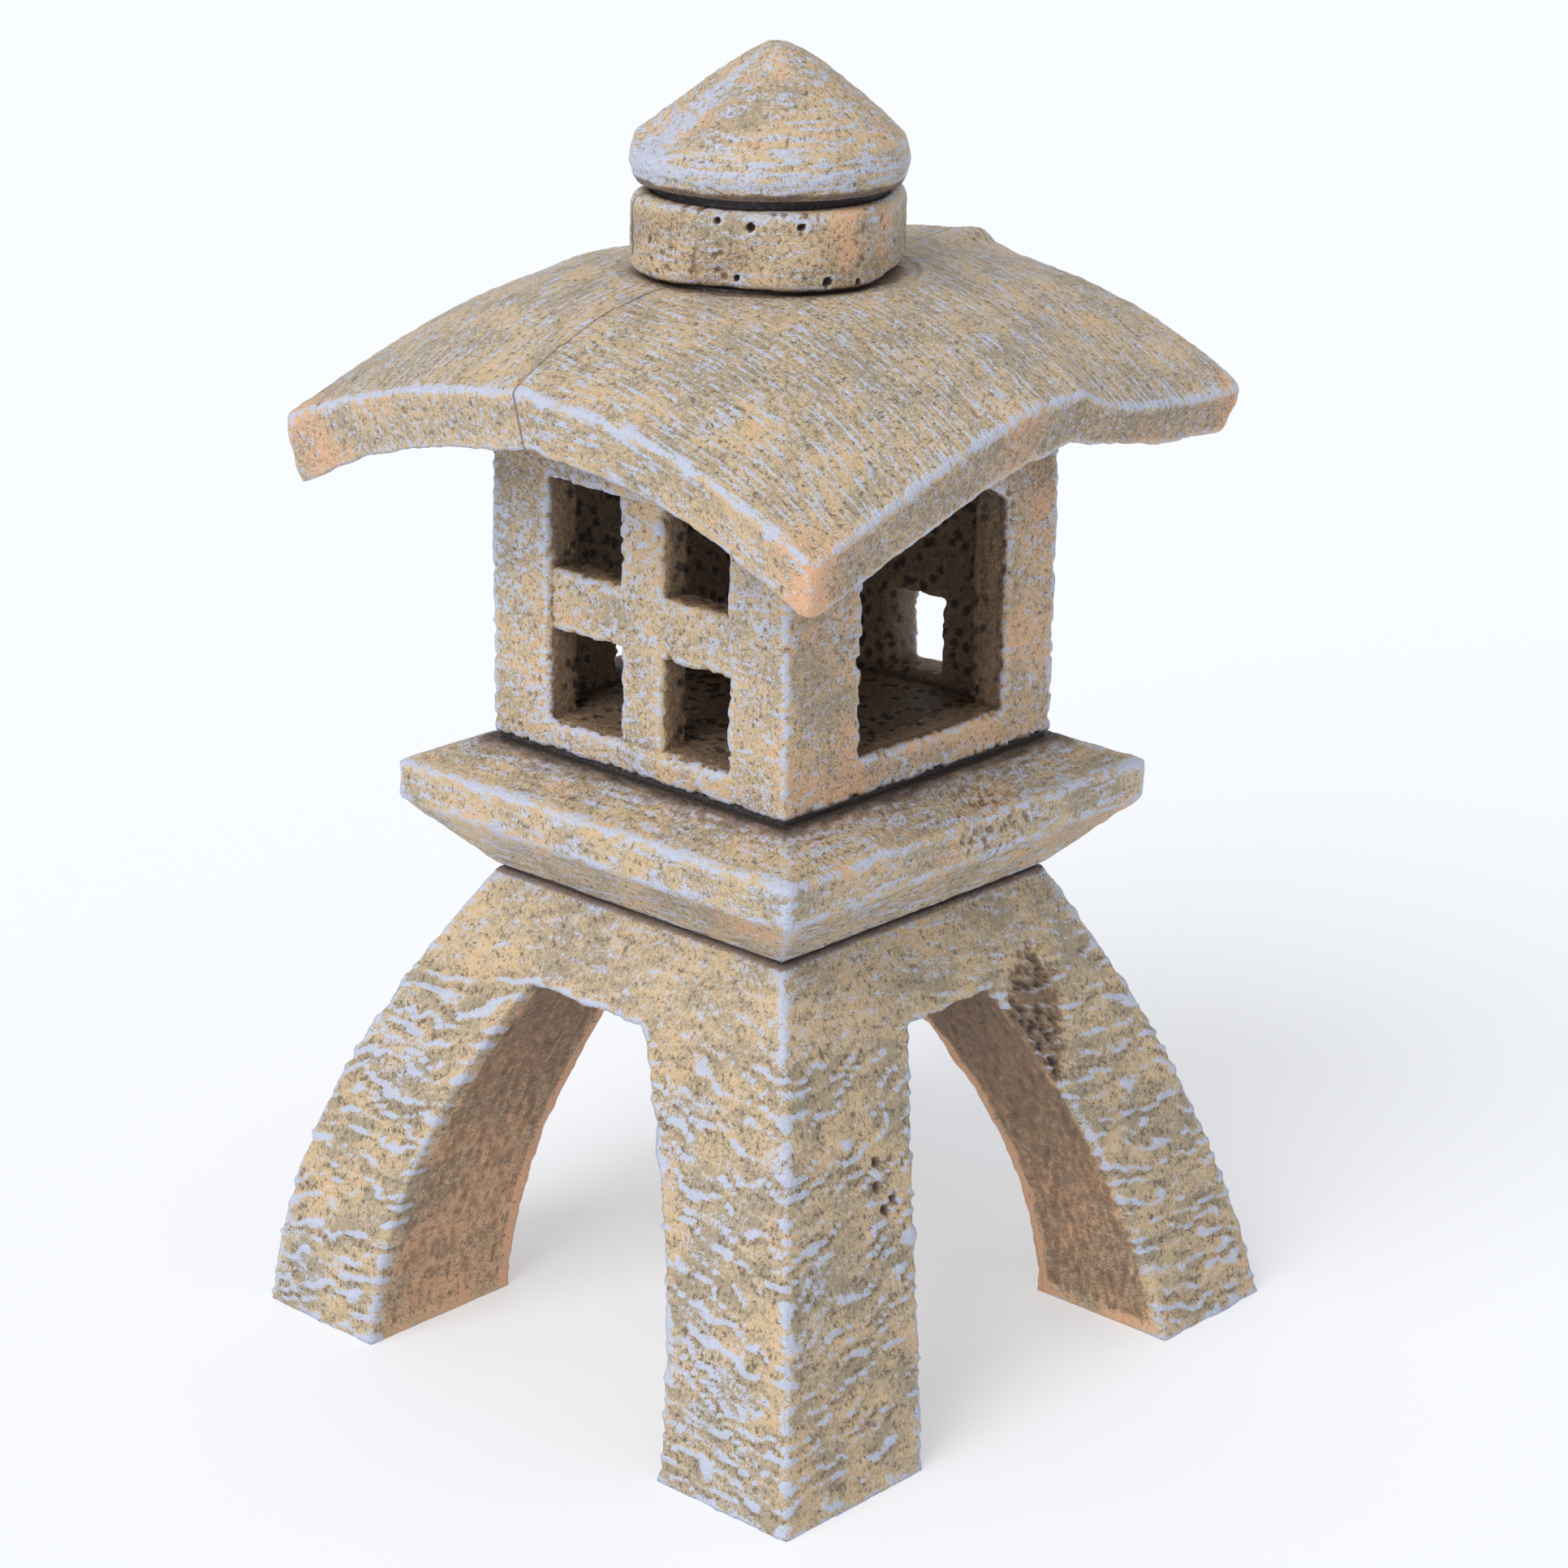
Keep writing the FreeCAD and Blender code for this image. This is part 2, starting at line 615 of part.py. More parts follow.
def make_lantern():
    """Build every sub-part, from the ground up."""
    on_axis = [("ground", "ground")]
    finial_hole = "finial_pin_radius + pin_clearance"
    chamber_void = ("chamber_half", "chamber_wall")
    return [
        make_leg_base(),
        make_bed("platform_bed", "leg_top_half", "platform_seam", "leg_height",
                 ("platform_pin_radius + pin_clearance", four_corners("platform_pin_reach"))),
        make_dowels("platform_dowels", "platform_pin_radius", "platform_seam", "leg_height",
                    four_corners("platform_pin_reach")),
        make_platform(),
        make_bed("chamber_bed", "chamber_half", "chamber_seam", CHAMBER_BED_BASE,
                 ("chamber_pin_radius + pin_clearance", four_corners("chamber_pin_reach"))),
        make_dowels("chamber_dowels", "chamber_pin_radius", "chamber_seam", CHAMBER_BED_BASE,
                    four_corners("chamber_pin_reach")),
        make_fire_chamber(),
        make_bed("roof_bed", "chamber_half", "roof_seam", ROOF_BED_BASE,
                 ("roof_pin_radius + pin_clearance", two_corners("chamber_pin_reach")), chamber_void),
        make_dowels("roof_dowels", "roof_pin_radius", "roof_seam", ROOF_BED_BASE,
                    two_corners("chamber_pin_reach")),
        make_roof(),
        make_round_bed("collar_bed", "collar_half - bed_inset", "collar_seam", COLLAR_BED_BASE, finial_hole),
        make_dowels("collar_dowel", "finial_pin_radius", "collar_seam", COLLAR_BED_BASE, on_axis, shift=True),
        make_finial_collar(),
        make_round_bed("cap_bed", "cap_seam_radius", "cap_seam", CAP_BED_BASE, finial_hole),
        make_dowels("cap_dowel", "finial_pin_radius", "cap_seam", CAP_BED_BASE, on_axis, shift=True),
        make_finial_cap(),
    ]


# ---------------------------------------------------------------- checks and export

def check_document(items):
    """Stop if any object failed or any sub-part's shape is missing or invalid."""
    for item in doc.Objects:
        if "Invalid" in item.State or "Error" in item.State:
            raise RuntimeError(f"{item.Name} is in state {item.State}")
    for item in items:
        if item.Shape.isNull() or not item.Shape.isValid():
            raise RuntimeError(f"{item.Label} has no valid shape")


def export(items):
    """Write each sub-part to its own STEP file and print its size."""
    os.makedirs(PARTS, exist_ok=True)
    for item in items:
        item.Shape.exportStep(os.path.join(PARTS, f"{item.Label}.step"))
        box = item.Shape.BoundBox
        print(f"{item.Label:16s} {len(item.Shape.Solids)} solids, {item.Shape.Volume / 1000:8.2f} cm3, "
              f"z {box.ZMin:7.2f} to {box.ZMax:7.2f}, x {box.XMin:7.2f} to {box.XMax:7.2f}")


fill_sheet()
lantern = make_lantern()
doc.recompute()
check_document(lantern)
export(lantern)
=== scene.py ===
"""Cast stone garden lantern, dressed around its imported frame.

Each stone is one closed surface worked out as whole arrays: a box lattice of cells is bent to the stone's
true shape, its arrises are eased, and a relief of ridges, grain, chips and air holes is raised along its
normals. Lengths in this file are millimetres until a mesh is made.
"""

from __future__ import annotations

import logging
from copy import copy
from dataclasses import dataclass, field
from enum import Enum
from math import cos, radians, sin, tau

import bpy
import numpy as np
from mathutils import Matrix, Vector


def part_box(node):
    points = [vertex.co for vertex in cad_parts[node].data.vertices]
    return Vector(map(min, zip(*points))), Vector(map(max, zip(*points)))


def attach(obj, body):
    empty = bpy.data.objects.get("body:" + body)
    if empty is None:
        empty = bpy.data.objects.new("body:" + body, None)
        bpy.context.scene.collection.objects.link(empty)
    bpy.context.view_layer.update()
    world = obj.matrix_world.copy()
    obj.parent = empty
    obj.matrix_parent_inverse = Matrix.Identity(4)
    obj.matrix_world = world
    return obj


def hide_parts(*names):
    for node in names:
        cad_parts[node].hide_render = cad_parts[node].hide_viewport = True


Array = np.ndarray
Place = np.ndarray | tuple[float, float, float]
Socket = bpy.types.NodeSocket
LOG = logging.getLogger("stone_lantern")
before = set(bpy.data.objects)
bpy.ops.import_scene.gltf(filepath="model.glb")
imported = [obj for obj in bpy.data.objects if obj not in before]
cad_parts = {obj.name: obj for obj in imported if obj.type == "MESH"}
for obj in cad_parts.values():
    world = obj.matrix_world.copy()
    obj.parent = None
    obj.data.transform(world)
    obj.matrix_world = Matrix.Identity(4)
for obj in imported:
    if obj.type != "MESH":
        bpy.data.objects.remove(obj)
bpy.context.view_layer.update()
METRE = 0.001           # one millimetre in metres


# ---------------------------------------------------------------- numbers and noise

def ramp(values: Array, start: float, end: float) -> Array:
    """Smooth step: 0 before start, 1 after end, and 3t^2 - 2t^3 between, where t is the share of the way.

    Args:
        values: numbers of any shape.
        start: where the step begins; it may be above end, for a falling step.
        end: where the step is complete.

    Returns:
        Numbers from 0 to 1 of the same shape.
    """
    share = np.clip((values - start) / (end - start), 0.0, 1.0)
    return share * share * (3.0 - 2.0 * share)


def blend(first: Array, second: Array, share: Array) -> Array:
    """The straight mix first + (second - first) * share."""
    return first + (second - first) * share


def within(values: Array, low: float, high: float) -> Array:
    """True where a value lies strictly between low and high."""
    return (values > low) & (values < high)


def middles(marks: Array) -> Array:
    """The middle of each gap between neighbouring lattice lines."""
    return (marks[1:] + marks[:-1]) / 2.0


def bowed(foot: float, head: float, bulge: Array | float, share: Array) -> Array:
    """A straight change from foot to head plus a parabola's bulge, 4 b t (1 - t), where t is the share."""
    return foot + (head - foot) * share + 4.0 * bulge * share * (1.0 - share)


def turned(x: Array, y: Array, degrees: float) -> tuple[Array, Array]:
    """The coordinates turned about the origin, anticlockwise."""
    across, along = cos(radians(degrees)), sin(radians(degrees))
    return across * x - along * y, along * x + across * y


def lines(keys: list[float], pitch: float) -> Array:
    """Lattice lines through every key, evenly spaced between one key and the next.

    Args:
        keys: rising positions that a line must pass through.
        pitch: the wanted distance between lines.

    Returns:
        The rising positions of all the lines.
    """
    spans = [np.linspace(low, high, max(1, round((high - low) / pitch)) + 1)[:-1]
             for low, high in zip(keys[:-1], keys[1:])]
    return np.append(np.concatenate(spans), keys[-1])


class Grit:
    """Seeded random values on a repeating lattice of cells, the source of every uneven surface here."""

    PERIOD = 32

    def __init__(self, seed: int) -> None:
        """Draws the lattice.

        Args:
            seed: the whole lattice follows from this number.
        """
        draw = np.random.default_rng(seed)
        slopes = draw.normal(size=(self.PERIOD,) * 3 + (3,))
        self.slopes = slopes / np.linalg.norm(slopes, axis=-1, keepdims=True)
        self.spots = draw.random((self.PERIOD,) * 3 + (3,))

    def swell(self, places: Array, size: float | Array) -> Array:
        """Gradient noise: each lattice corner holds a random slope, and the slopes' heights are blended.

        Args:
            places: points (n, 3).
            size: length of one lattice cell, or one length per axis.

        Returns:
            Heights (n,), from about -1 to 1.
        """
        scaled = places / size
        base = np.floor(scaled).astype(np.int64)
        part = scaled - base
        fade = part ** 3 * (part * (part * 6.0 - 15.0) + 10.0)
        total = np.zeros(len(places))
        for corner in np.ndindex(2, 2, 2):
            offset = np.array(corner)
            i, j, k = ((base + offset) % self.PERIOD).T
            height = ((part - offset) * self.slopes[i, j, k]).sum(axis=1)
            total += height * np.prod(np.where(offset == 1, fade, 1.0 - fade), axis=1)
        return 1.6 * total

    def layered(self, places: Array, size: float | Array) -> Array:
        """Swells, plus others half the size and half the height, scaled back to about -1 to 1."""
        coarse, fine = self.swell(places, size), self.swell(places + 17.3, np.asarray(size) / 2.0)
        return (coarse + 0.5 * fine) / 1.5 * 1.3

    def crests(self, places: Array, size: float | Array) -> Array:
        """Sharp crests and round valleys: 1 - 2.4 times the swell's distance from zero."""
        return 1.0 - 2.4 * np.abs(self.swell(places, size))

    def cells(self, places: Array, size: float) -> Array:
        """Distance to the nearest of the random spots, one in each lattice cell, as a share of size.

        Args:
            places: points (n, 3).
            size: length of one cell.

        Returns:
            Distances (n,), 0 at a spot.
        """
        scaled = places / size
        base = np.floor(scaled).astype(np.int64)
        nearest = np.full(len(places), 9.0)
        for corner in np.ndindex(3, 3, 3):
            cell = base + np.array(corner) - 1
            i, j, k = (cell % self.PERIOD).T
            gap = cell + self.spots[i, j, k] - scaled
            nearest = np.minimum(nearest, (gap * gap).sum(axis=1))
        return np.sqrt(nearest)


@dataclass(frozen=True)
class Room:
    """The lowest and highest corner of one frame node at rest."""

    low: Array
    high: Array

    @classmethod
    def of(cls, node: str) -> Room:
        """Reads a node's box from the frame and turns it into millimetres."""
        low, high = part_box(node)
        return cls(np.array(low) / METRE, np.array(high) / METRE)

    @property
    def half(self) -> Array:
        """Half the size along each axis."""
        return (self.high - self.low) / 2.0

    @property
    def centre(self) -> Array:
        """The middle point."""
        return (self.high + self.low) / 2.0


# ---------------------------------------------------------------- surfaces

@dataclass
class Skin:
    """A closed surface of four-sided faces that point outwards."""

    points: Array
    quads: Array
    links: Array = field(init=False)
    joined: Array = field(init=False)

    def __post_init__(self) -> None:
        """Lists each edge once, as a pair of point numbers, and counts the edges at each point."""
        count = len(self.points)
        sides = np.sort(np.concatenate([self.quads[:, [n, (n + 1) % 4]] for n in range(4)]), axis=1)
        keys = np.unique(sides[:, 0] * count + sides[:, 1])
        self.links = np.stack([keys // count, keys % count], axis=1)
        self.joined = np.bincount(self.links.ravel(), minlength=count)[:, None]

    @classmethod
    def of_cells(cls, solid: Array, along: tuple[Array, Array, Array]) -> Skin:
        """The skin between the solid cells of a box lattice and the empty ones.

        A face stands wherever a cell and its neighbour differ, wound to point away from the solid one.

        Args:
            solid: True for each filled cell, (nx, ny, nz).
            along: the lattice lines of each axis, one more than the cells.

        Returns:
            The skin, with its points on the lattice lines.
        """
        padded = np.pad(solid, 1).astype(np.int8)
        unit = np.eye(3, dtype=np.int64)
        rings = []
        for axis in range(3):
            inner = tuple(slice(None) if n == axis else slice(1, -1) for n in range(3))
            change = np.diff(padded, axis=axis)[inner]
            side, up = unit[(axis + 1) % 3], unit[(axis + 2) % 3]
            for sign in (1, -1):
                corner = np.stack(np.nonzero(change == sign), axis=1)
                ring = [corner, corner + side, corner + side + up, corner + up]
                rings.append(np.stack(ring[::-sign], axis=1))
        corners = np.concatenate(rings)
        shape = np.array(solid.shape) + 1
        keys = (corners[..., 0] * shape[1] + corners[..., 1]) * shape[2] + corners[..., 2]
        used, quads = np.unique(keys, return_inverse=True)
        i, j, k = used // (shape[1] * shape[2]), used // shape[2] % shape[1], used % shape[2]
        points = np.stack([along[0][i], along[1][j], along[2][k]], axis=1)
        return cls(points, quads.reshape(-1, 4))

    def eased(self, values: Array, rounds: int) -> Array:
        """Moves every value half way to the mean of those joined to it, round after round.

        Args:
            values: numbers (n, k), such as the points themselves.
            rounds: how many times to move them.

        Returns:
            The eased values (n, k).
        """
        first, second = self.links.T
        count = len(values)
        for _ in range(rounds):
            sums = [np.bincount(first, column[second], count) + np.bincount(second, column[first], count)
                    for column in values.T]
            values = values + 0.5 * (np.stack(sums, axis=1) / self.joined - values)
        return values

    def normals(self) -> Array:
        """Unit normals: the sum of each point's faces' diagonal cross products, made one long."""
        corner = self.points[self.quads]
        face = np.cross(corner[:, 2] - corner[:, 0], corner[:, 3] - corner[:, 1])
        spread = np.repeat(face, 4, axis=0)
        index = self.quads.ravel()
        total = np.stack([np.bincount(index, spread[:, n], len(self.points)) for n in range(3)], axis=1)
        return total / np.maximum(np.linalg.norm(total, axis=1, keepdims=True), 1e-9)

    def standing(self, rounds: int) -> Array:
        """How far each point stands proud of the surface eased by so many rounds, along the eased normal."""
        soft = copy(self)
        soft.points = self.eased(self.points, rounds)
        return ((self.points - soft.points) * soft.normals()).sum(axis=1)

    def raise_by(self, heights: Array) -> None:
        """Moves every point along its own normal by its height."""
        self.points = self.points + self.normals() * heights[:, None]

    def plane_off(self, on: Place, facing: Place, reach: float) -> None:
        """Presses down to a plane whatever stands above it, within reach of one point on it.

        Args:
            on: the point on the plane.
            facing: the plane's outward direction.
            reach: how far from the point the chip extends.
        """
        out = np.array(facing) / np.linalg.norm(facing)
        gap = self.points - np.array(on)
        near = ramp(np.linalg.norm(gap, axis=1), reach, 0.7 * reach)
        self.points = self.points - out * (np.maximum(gap @ out, 0.0) * near)[:, None]

    def bore(self, at: Place, into: Place, radius: float, depth: float) -> Array:
        """Sinks a round air hole: points within radius of the axis move in by the depth, with a steep side.

        Args:
            at: the middle of the hole's mouth.
            into: the direction of the hole.
            radius: the hole's radius.
            depth: how deep it goes.

        Returns:
            The share of the depth at each point, 1 on the hole's floor.
        """
        way = np.array(into) / np.linalg.norm(into)
        gap = self.points - np.array(at)
        level = gap @ way
        aside = np.linalg.norm(gap - level[:, None] * way, axis=1)
        share = ramp(aside, radius, 0.55 * radius) * (np.abs(level) < 3.0 * radius)
        self.points = self.points + way * (depth * share)[:, None]
        return share


@dataclass
class Marks:
    """What the finishes read at each point of a skin, as attributes of its mesh."""

    crest: Array     # the relief's own height: 1 on a crest, -1 in a hollow
    arris: Array     # 1 along outward corners
    wash: Array      # dark wash and painted shade, 0 to 1
    blush: Array     # orange paint, 0 to 1
    frost: Array     # extra pale blue, 0 to 1
    stroke: Array    # (n, 3) place in the pattern of tool strokes

    @classmethod
    def of(cls, skin: Skin, relief: float, stroke: Array) -> Marks:
        """Reads crests and arrises from the finished surface, and starts with no wash, blush or frost.

        Args:
            skin: the finished surface.
            relief: the height that counts as a full crest.
            stroke: each point's place in the pattern of strokes.

        Returns:
            The marks, for the stone's own class to add to.
        """
        none = np.zeros(len(skin.points))
        return cls(crest=np.clip(skin.standing(5) / relief, -1.5, 1.5),
                   arris=np.clip(skin.standing(6) / 0.36 - 0.45, 0.0, 1.0),
                   wash=none.copy(), blush=none.copy(), frost=none.copy(), stroke=stroke)


def mesh_of(name: str, skin: Skin, marks: Marks) -> bpy.types.Object:
    """Puts a skin and its marks into a mesh object at the origin, in metres.

    Args:
        name: the piece's name.
        skin: the surface, in millimetres.
        marks: the values its finish reads.

    Returns:
        The object, linked to the scene.
    """
    mesh = bpy.data.meshes.new(name)
    mesh.vertices.add(len(skin.points))
    mesh.vertices.foreach_set("co", (skin.points * METRE).astype(np.float32).ravel())
    mesh.loops.add(skin.quads.size)
    mesh.loops.foreach_set("vertex_index", skin.quads.astype(np.int32).ravel())
    mesh.polygons.add(len(skin.quads))
    mesh.polygons.foreach_set("loop_start", np.arange(0, skin.quads.size, 4, dtype=np.int32))
    mesh.update(calc_edges=True)
    mesh.validate()
    mesh.shade_smooth()
    for label in ("crest", "arris", "wash", "blush", "frost"):
        values = mesh.attributes.new(label, "FLOAT", "POINT")
        values.data.foreach_set("value", getattr(marks, label).astype(np.float32))
    values = mesh.attributes.new("stroke", "FLOAT_VECTOR", "POINT")
    values.data.foreach_set("vector", marks.stroke.astype(np.float32).ravel())
    piece = bpy.data.objects.new(name, mesh)
    bpy.context.scene.collection.objects.link(piece)
    return piece


# ---------------------------------------------------------------- finishes

def tint(red: int, green: int, blue: int) -> tuple[float, float, float, float]:
    """A display colour, 0 to 255 each, as the linear colour that a shader takes."""
    shares = np.array([red, green, blue]) / 255.0
    linear = np.where(shares <= 0.04045, shares / 12.92, ((shares + 0.055) / 1.055) ** 2.4)
    return (float(linear[0]), float(linear[1]), float(linear[2]), 1.0)


class Bench:
    """Adds nodes to one material and joins them. A length given as a size is in millimetres."""

    def __init__(self, name: str) -> None:
        """Starts an empty node material of that name, with a shader joined to its output."""
        self.material = bpy.data.materials.new(name)
        self.material.use_nodes = True
        self.tree = self.material.node_tree
        self.tree.nodes.clear()
        self.shader = self.tree.nodes.new("ShaderNodeBsdfPrincipled")
        output = self.tree.nodes.new("ShaderNodeOutputMaterial")
        self.tree.links.new(self.shader.outputs[0], output.inputs[0])

    def add(self, kind: str, inputs: dict, output: int | str = 0, **settings: object) -> Socket:
        """Adds one node.

        Args:
            kind: the node's type name.
            inputs: a socket to join or a value to set, for each input by name or number.
            output: the wanted output.
            **settings: the node's own properties.

        Returns:
            The wanted output socket.
        """
        node = self.tree.nodes.new(kind)
        for label, value in settings.items():
            setattr(node, label, value)
        for label, value in inputs.items():
            self.put(node.inputs[label], value)
        return node.outputs[output]

    def put(self, socket: Socket, value: object) -> None:
        """Joins a socket to the input, or sets the input's own value."""
        if isinstance(value, Socket):
            self.tree.links.new(value, socket)
        else:
            socket.default_value = value

    def place(self) -> Socket:
        """The point's place on the object, in metres."""
        return self.add("ShaderNodeTexCoord", {}, "Object")

    def mark(self, label: str, output: str = "Fac") -> Socket:
        """One of the skin's marks."""
        return self.add("ShaderNodeAttribute", {}, output, attribute_name=label)

    def noise(self, where: Socket, size: float, detail: float, rough: float = 0.6, bend: float = 0.0
              ) -> Socket:
        """Cloudy noise from 0 to 1, with features of that size."""
        inputs = {"Vector": where, "Scale": 1.0 / (size * METRE), "Detail": detail, "Roughness": rough,
                  "Distortion": bend}
        return self.add("ShaderNodeTexNoise", inputs)

    def cells(self, where: Socket, size: float) -> Socket:
        """Distance to the nearest of scattered spots, a cell of that size each."""
        return self.add("ShaderNodeTexVoronoi", {"Vector": where, "Scale": 1.0 / (size * METRE)}, "Distance")

    def sums(self, *terms: tuple[object, float]) -> Socket:
        """The weighted sum of several sockets, each given with its weight."""
        total: object = 0.0
        for value, weight in terms:
            total = self.add("ShaderNodeMath", {0: value, 1: weight, 2: total}, operation="MULTIPLY_ADD")
        return total

    def step(self, value: Socket, start: float, end: float, top: float = 1.0) -> Socket:
        """Smooth step from 0 to top as the value goes from start to end, which may lie below start."""
        falling = start > end
        inputs = {"Value": value, "From Min": min(start, end), "From Max": max(start, end),
                  "To Min": top if falling else 0.0, "To Max": 0.0 if falling else top}
        return self.add("ShaderNodeMapRange", inputs, interpolation_type="SMOOTHSTEP")

    def mix(self, share: object, first: object, second: object) -> Socket:
        """The colour part way from first to second."""
        return self.add("ShaderNodeMix", {0: share, 6: first, 7: second}, 2, data_type="RGBA")

    def dress(self, colour: Socket, rough: Socket, height: Socket, depth: float, strength: float = 1.0
              ) -> bpy.types.Material:
        """Joins colour, roughness and relief to the shader.

        Args:
            colour: the base colour.
            rough: the roughness.
            height: the relief's height, 0 to about 1.
            depth: what a height of 1 stands for, in millimetres.
            strength: how far the relief tilts the shader's normal, 0 to 1.

        Returns:
            The finished material.
        """
        relief = {"Height": height, "Distance": depth * METRE, "Strength": strength}
        normal = self.add("ShaderNodeBump", relief)
        for label, value in (("Base Color", colour), ("Roughness", rough), ("Normal", normal)):
            self.put(self.shader.inputs[label], value)
        return self.material


@dataclass(frozen=True)
class StoneFinish:
    """Sandy casting stained ochre and olive, washed dark in hollows, painted shade in recesses, brushed pale
    blue on crests.
    """

    name: str
    ochre: tuple[int, int, int] = (209, 184, 147)
    olive: tuple[int, int, int] = (162, 149, 129)
    orange: tuple[int, int, int] = (226, 176, 140)
    frost: tuple[int, int, int] = (190, 201, 226)
    pit: tuple[int, int, int] = (108, 92, 78)
    # brown and soot paint the dark wash and the painted shade in recesses, undersides and shaded faces
    brown_wash_and_shade: tuple[int, int, int] = (128, 104, 84)
    dark_wash_and_shade: tuple[int, int, int] = (58, 51, 48)
    grain: float = 1.1           # size of the sand
    pits: float = 0.36           # the sand noise below which a pit shows
    frosting: float = 0.5        # how readily the pale blue takes, 0 to 1
    streaks: float = 0.5         # how far the tool strokes steer the pale blue
    glow: float = 0.50           # the sand noise above which orange grains show, lower for more
    depth: float = 0.60          # depth of the sand's relief
    top_pale: float = 0.85       # how fully the pale blue covers

    def material(self) -> bpy.types.Material:
        """Builds the node material.

        Sand noise sets ochre or olive, orange grains and dark pits. The pale blue takes where crest, arris,
        stroke and sand add up to enough, and the dark wash, with painted shade in recesses, undersides and
        shaded faces, lies over everything in joints and hollows.

        Returns:
            The material.
        """
        bench = Bench(self.name)
        place = bench.place()
        sand = bench.noise(place, self.grain, 3.0, 0.62, 0.4)
        dust = bench.noise(place, 0.42 * self.grain, 2.0)
        cloud = bench.noise(place, 13.0, 3.0, 0.6)
        spots = bench.cells(place, 1.5 * self.grain)
        stroke = bench.noise(bench.mark("stroke", "Vector"), 1.0 / METRE, 2.0, 0.55)
        crest, arris = bench.mark("crest"), bench.mark("arris")
        wash, blush = bench.mark("wash"), bench.mark("blush")
        tone = bench.sums((cloud, 0.7), (sand, 0.7), (crest, 0.10), (dust, 0.7))
        colour = bench.mix(bench.step(tone, 0.90, 1.20), tint(*self.olive), tint(*self.ochre))
        warm = bench.sums((dust, 0.6), (cloud, 0.35), (sand, 0.25), (blush, 0.24))
        stained = bench.step(warm, self.glow + 0.16, self.glow + 0.28, 0.85)
        colour = bench.mix(stained, colour, tint(*self.orange))
        frost = bench.mark("frost")
        cold = bench.sums((crest, 0.05), (arris, 0.20), (stroke, self.streaks), (sand, 0.20), (dust, 0.40),
                          (frost, 0.3), (self.frosting, 0.5), (blush, -0.12))
        start = 0.5 * self.streaks + 0.575
        colour = bench.mix(bench.step(cold, start, start + 0.09, self.top_pale), colour, tint(*self.frost))
        low = bench.sums((sand, 1.0), (spots, 0.12), (crest, 0.08), (dust, 0.18))
        colour = bench.mix(bench.step(low, self.pits + 0.21, self.pits + 0.09, 0.8), colour, tint(*self.pit))
        # dark wash and painted shade: brown first, then nearly black where the mark is deep
        murk = bench.sums((wash, 1.0), (sand, -0.35), (dust, -0.35), (crest, -0.12))
        colour = bench.mix(bench.step(murk, -0.20, 0.20, 0.85), colour, tint(*self.brown_wash_and_shade))
        colour = bench.mix(bench.step(murk, 0.10, 0.65, 0.95), colour, tint(*self.dark_wash_and_shade))
        bench.shader.inputs["Specular IOR Level"].default_value = 0.25
        height = bench.sums((sand, 1.0), (dust, 0.35), (spots, 0.25), (stroke, 0.8 * self.streaks))
        return bench.dress(colour, bench.step(sand, 0.2, 0.8, 0.98), height, self.depth)


@dataclass(frozen=True)
class CompoundFinish:
    """Setting compound: nearly black, matt and slightly crumbly."""

    name: str = "setting_compound"
    dark: tuple[int, int, int] = (50, 47, 47)
    grey: tuple[int, int, int] = (88, 86, 90)

    def material(self) -> bpy.types.Material:
        """Builds the node material from two sizes of noise."""
        bench = Bench(self.name)
        crumb = bench.noise(bench.place(), 0.9, 3.0)
        colour = bench.mix(bench.step(crumb, 0.45, 0.7), tint(*self.dark), tint(*self.grey))
        return bench.dress(colour, bench.step(crumb, 0.0, 0.6, 0.95), crumb, 0.3, 0.8)


@dataclass(frozen=True)
class SteelFinish:
    """Drawn steel rod, with fine marks along its length and a little bloom of rust."""

    name: str = "dowel_steel"
    bright: tuple[int, int, int] = (176, 176, 178)
    dull: tuple[int, int, int] = (128, 126, 124)
    rust: tuple[int, int, int] = (136, 92, 62)

    def material(self) -> bpy.types.Material:
        """Builds the node material: noise stretched along Z for the drawing marks, and cloudy rust."""
        bench = Bench(self.name)
        place = bench.place()
        stretched = bench.add("ShaderNodeMapping", {"Vector": place, "Scale": (1.0, 1.0, 0.04)})
        drawn = bench.noise(stretched, 0.5, 3.0)
        bloom = bench.noise(place, 3.0, 4.0, 0.7)
        colour = bench.mix(bench.step(drawn, 0.35, 0.65), tint(*self.dull), tint(*self.bright))
        colour = bench.mix(bench.step(bloom, 0.58, 0.7, 0.7), colour, tint(*self.rust))
        bench.shader.inputs["Metallic"].default_value = 0.85
        return bench.dress(colour, bench.sums((drawn, 0.3), (bloom, 0.4)), drawn, 0.05, 0.3)


# ---------------------------------------------------------------- stones

class Part(Enum):
    """The six stones, each with its frame node, the body it rides on and its material slot."""

    LEGS = ("leg_base", "legs", "stone_base")
    PLATFORM = ("platform", "platform", "stone_platform")
    CHAMBER = ("fire_chamber", "chamber", "stone_chamber")
    ROOF = ("roof", "roof", "stone_roof")
    COLLAR = ("finial_collar", "collar", "stone_finial")
    CAP = ("finial_cap", "cap", "stone_finial")

    @property
    def node(self) -> str:
        """The frame node that the stone replaces."""
        return self.value[0]


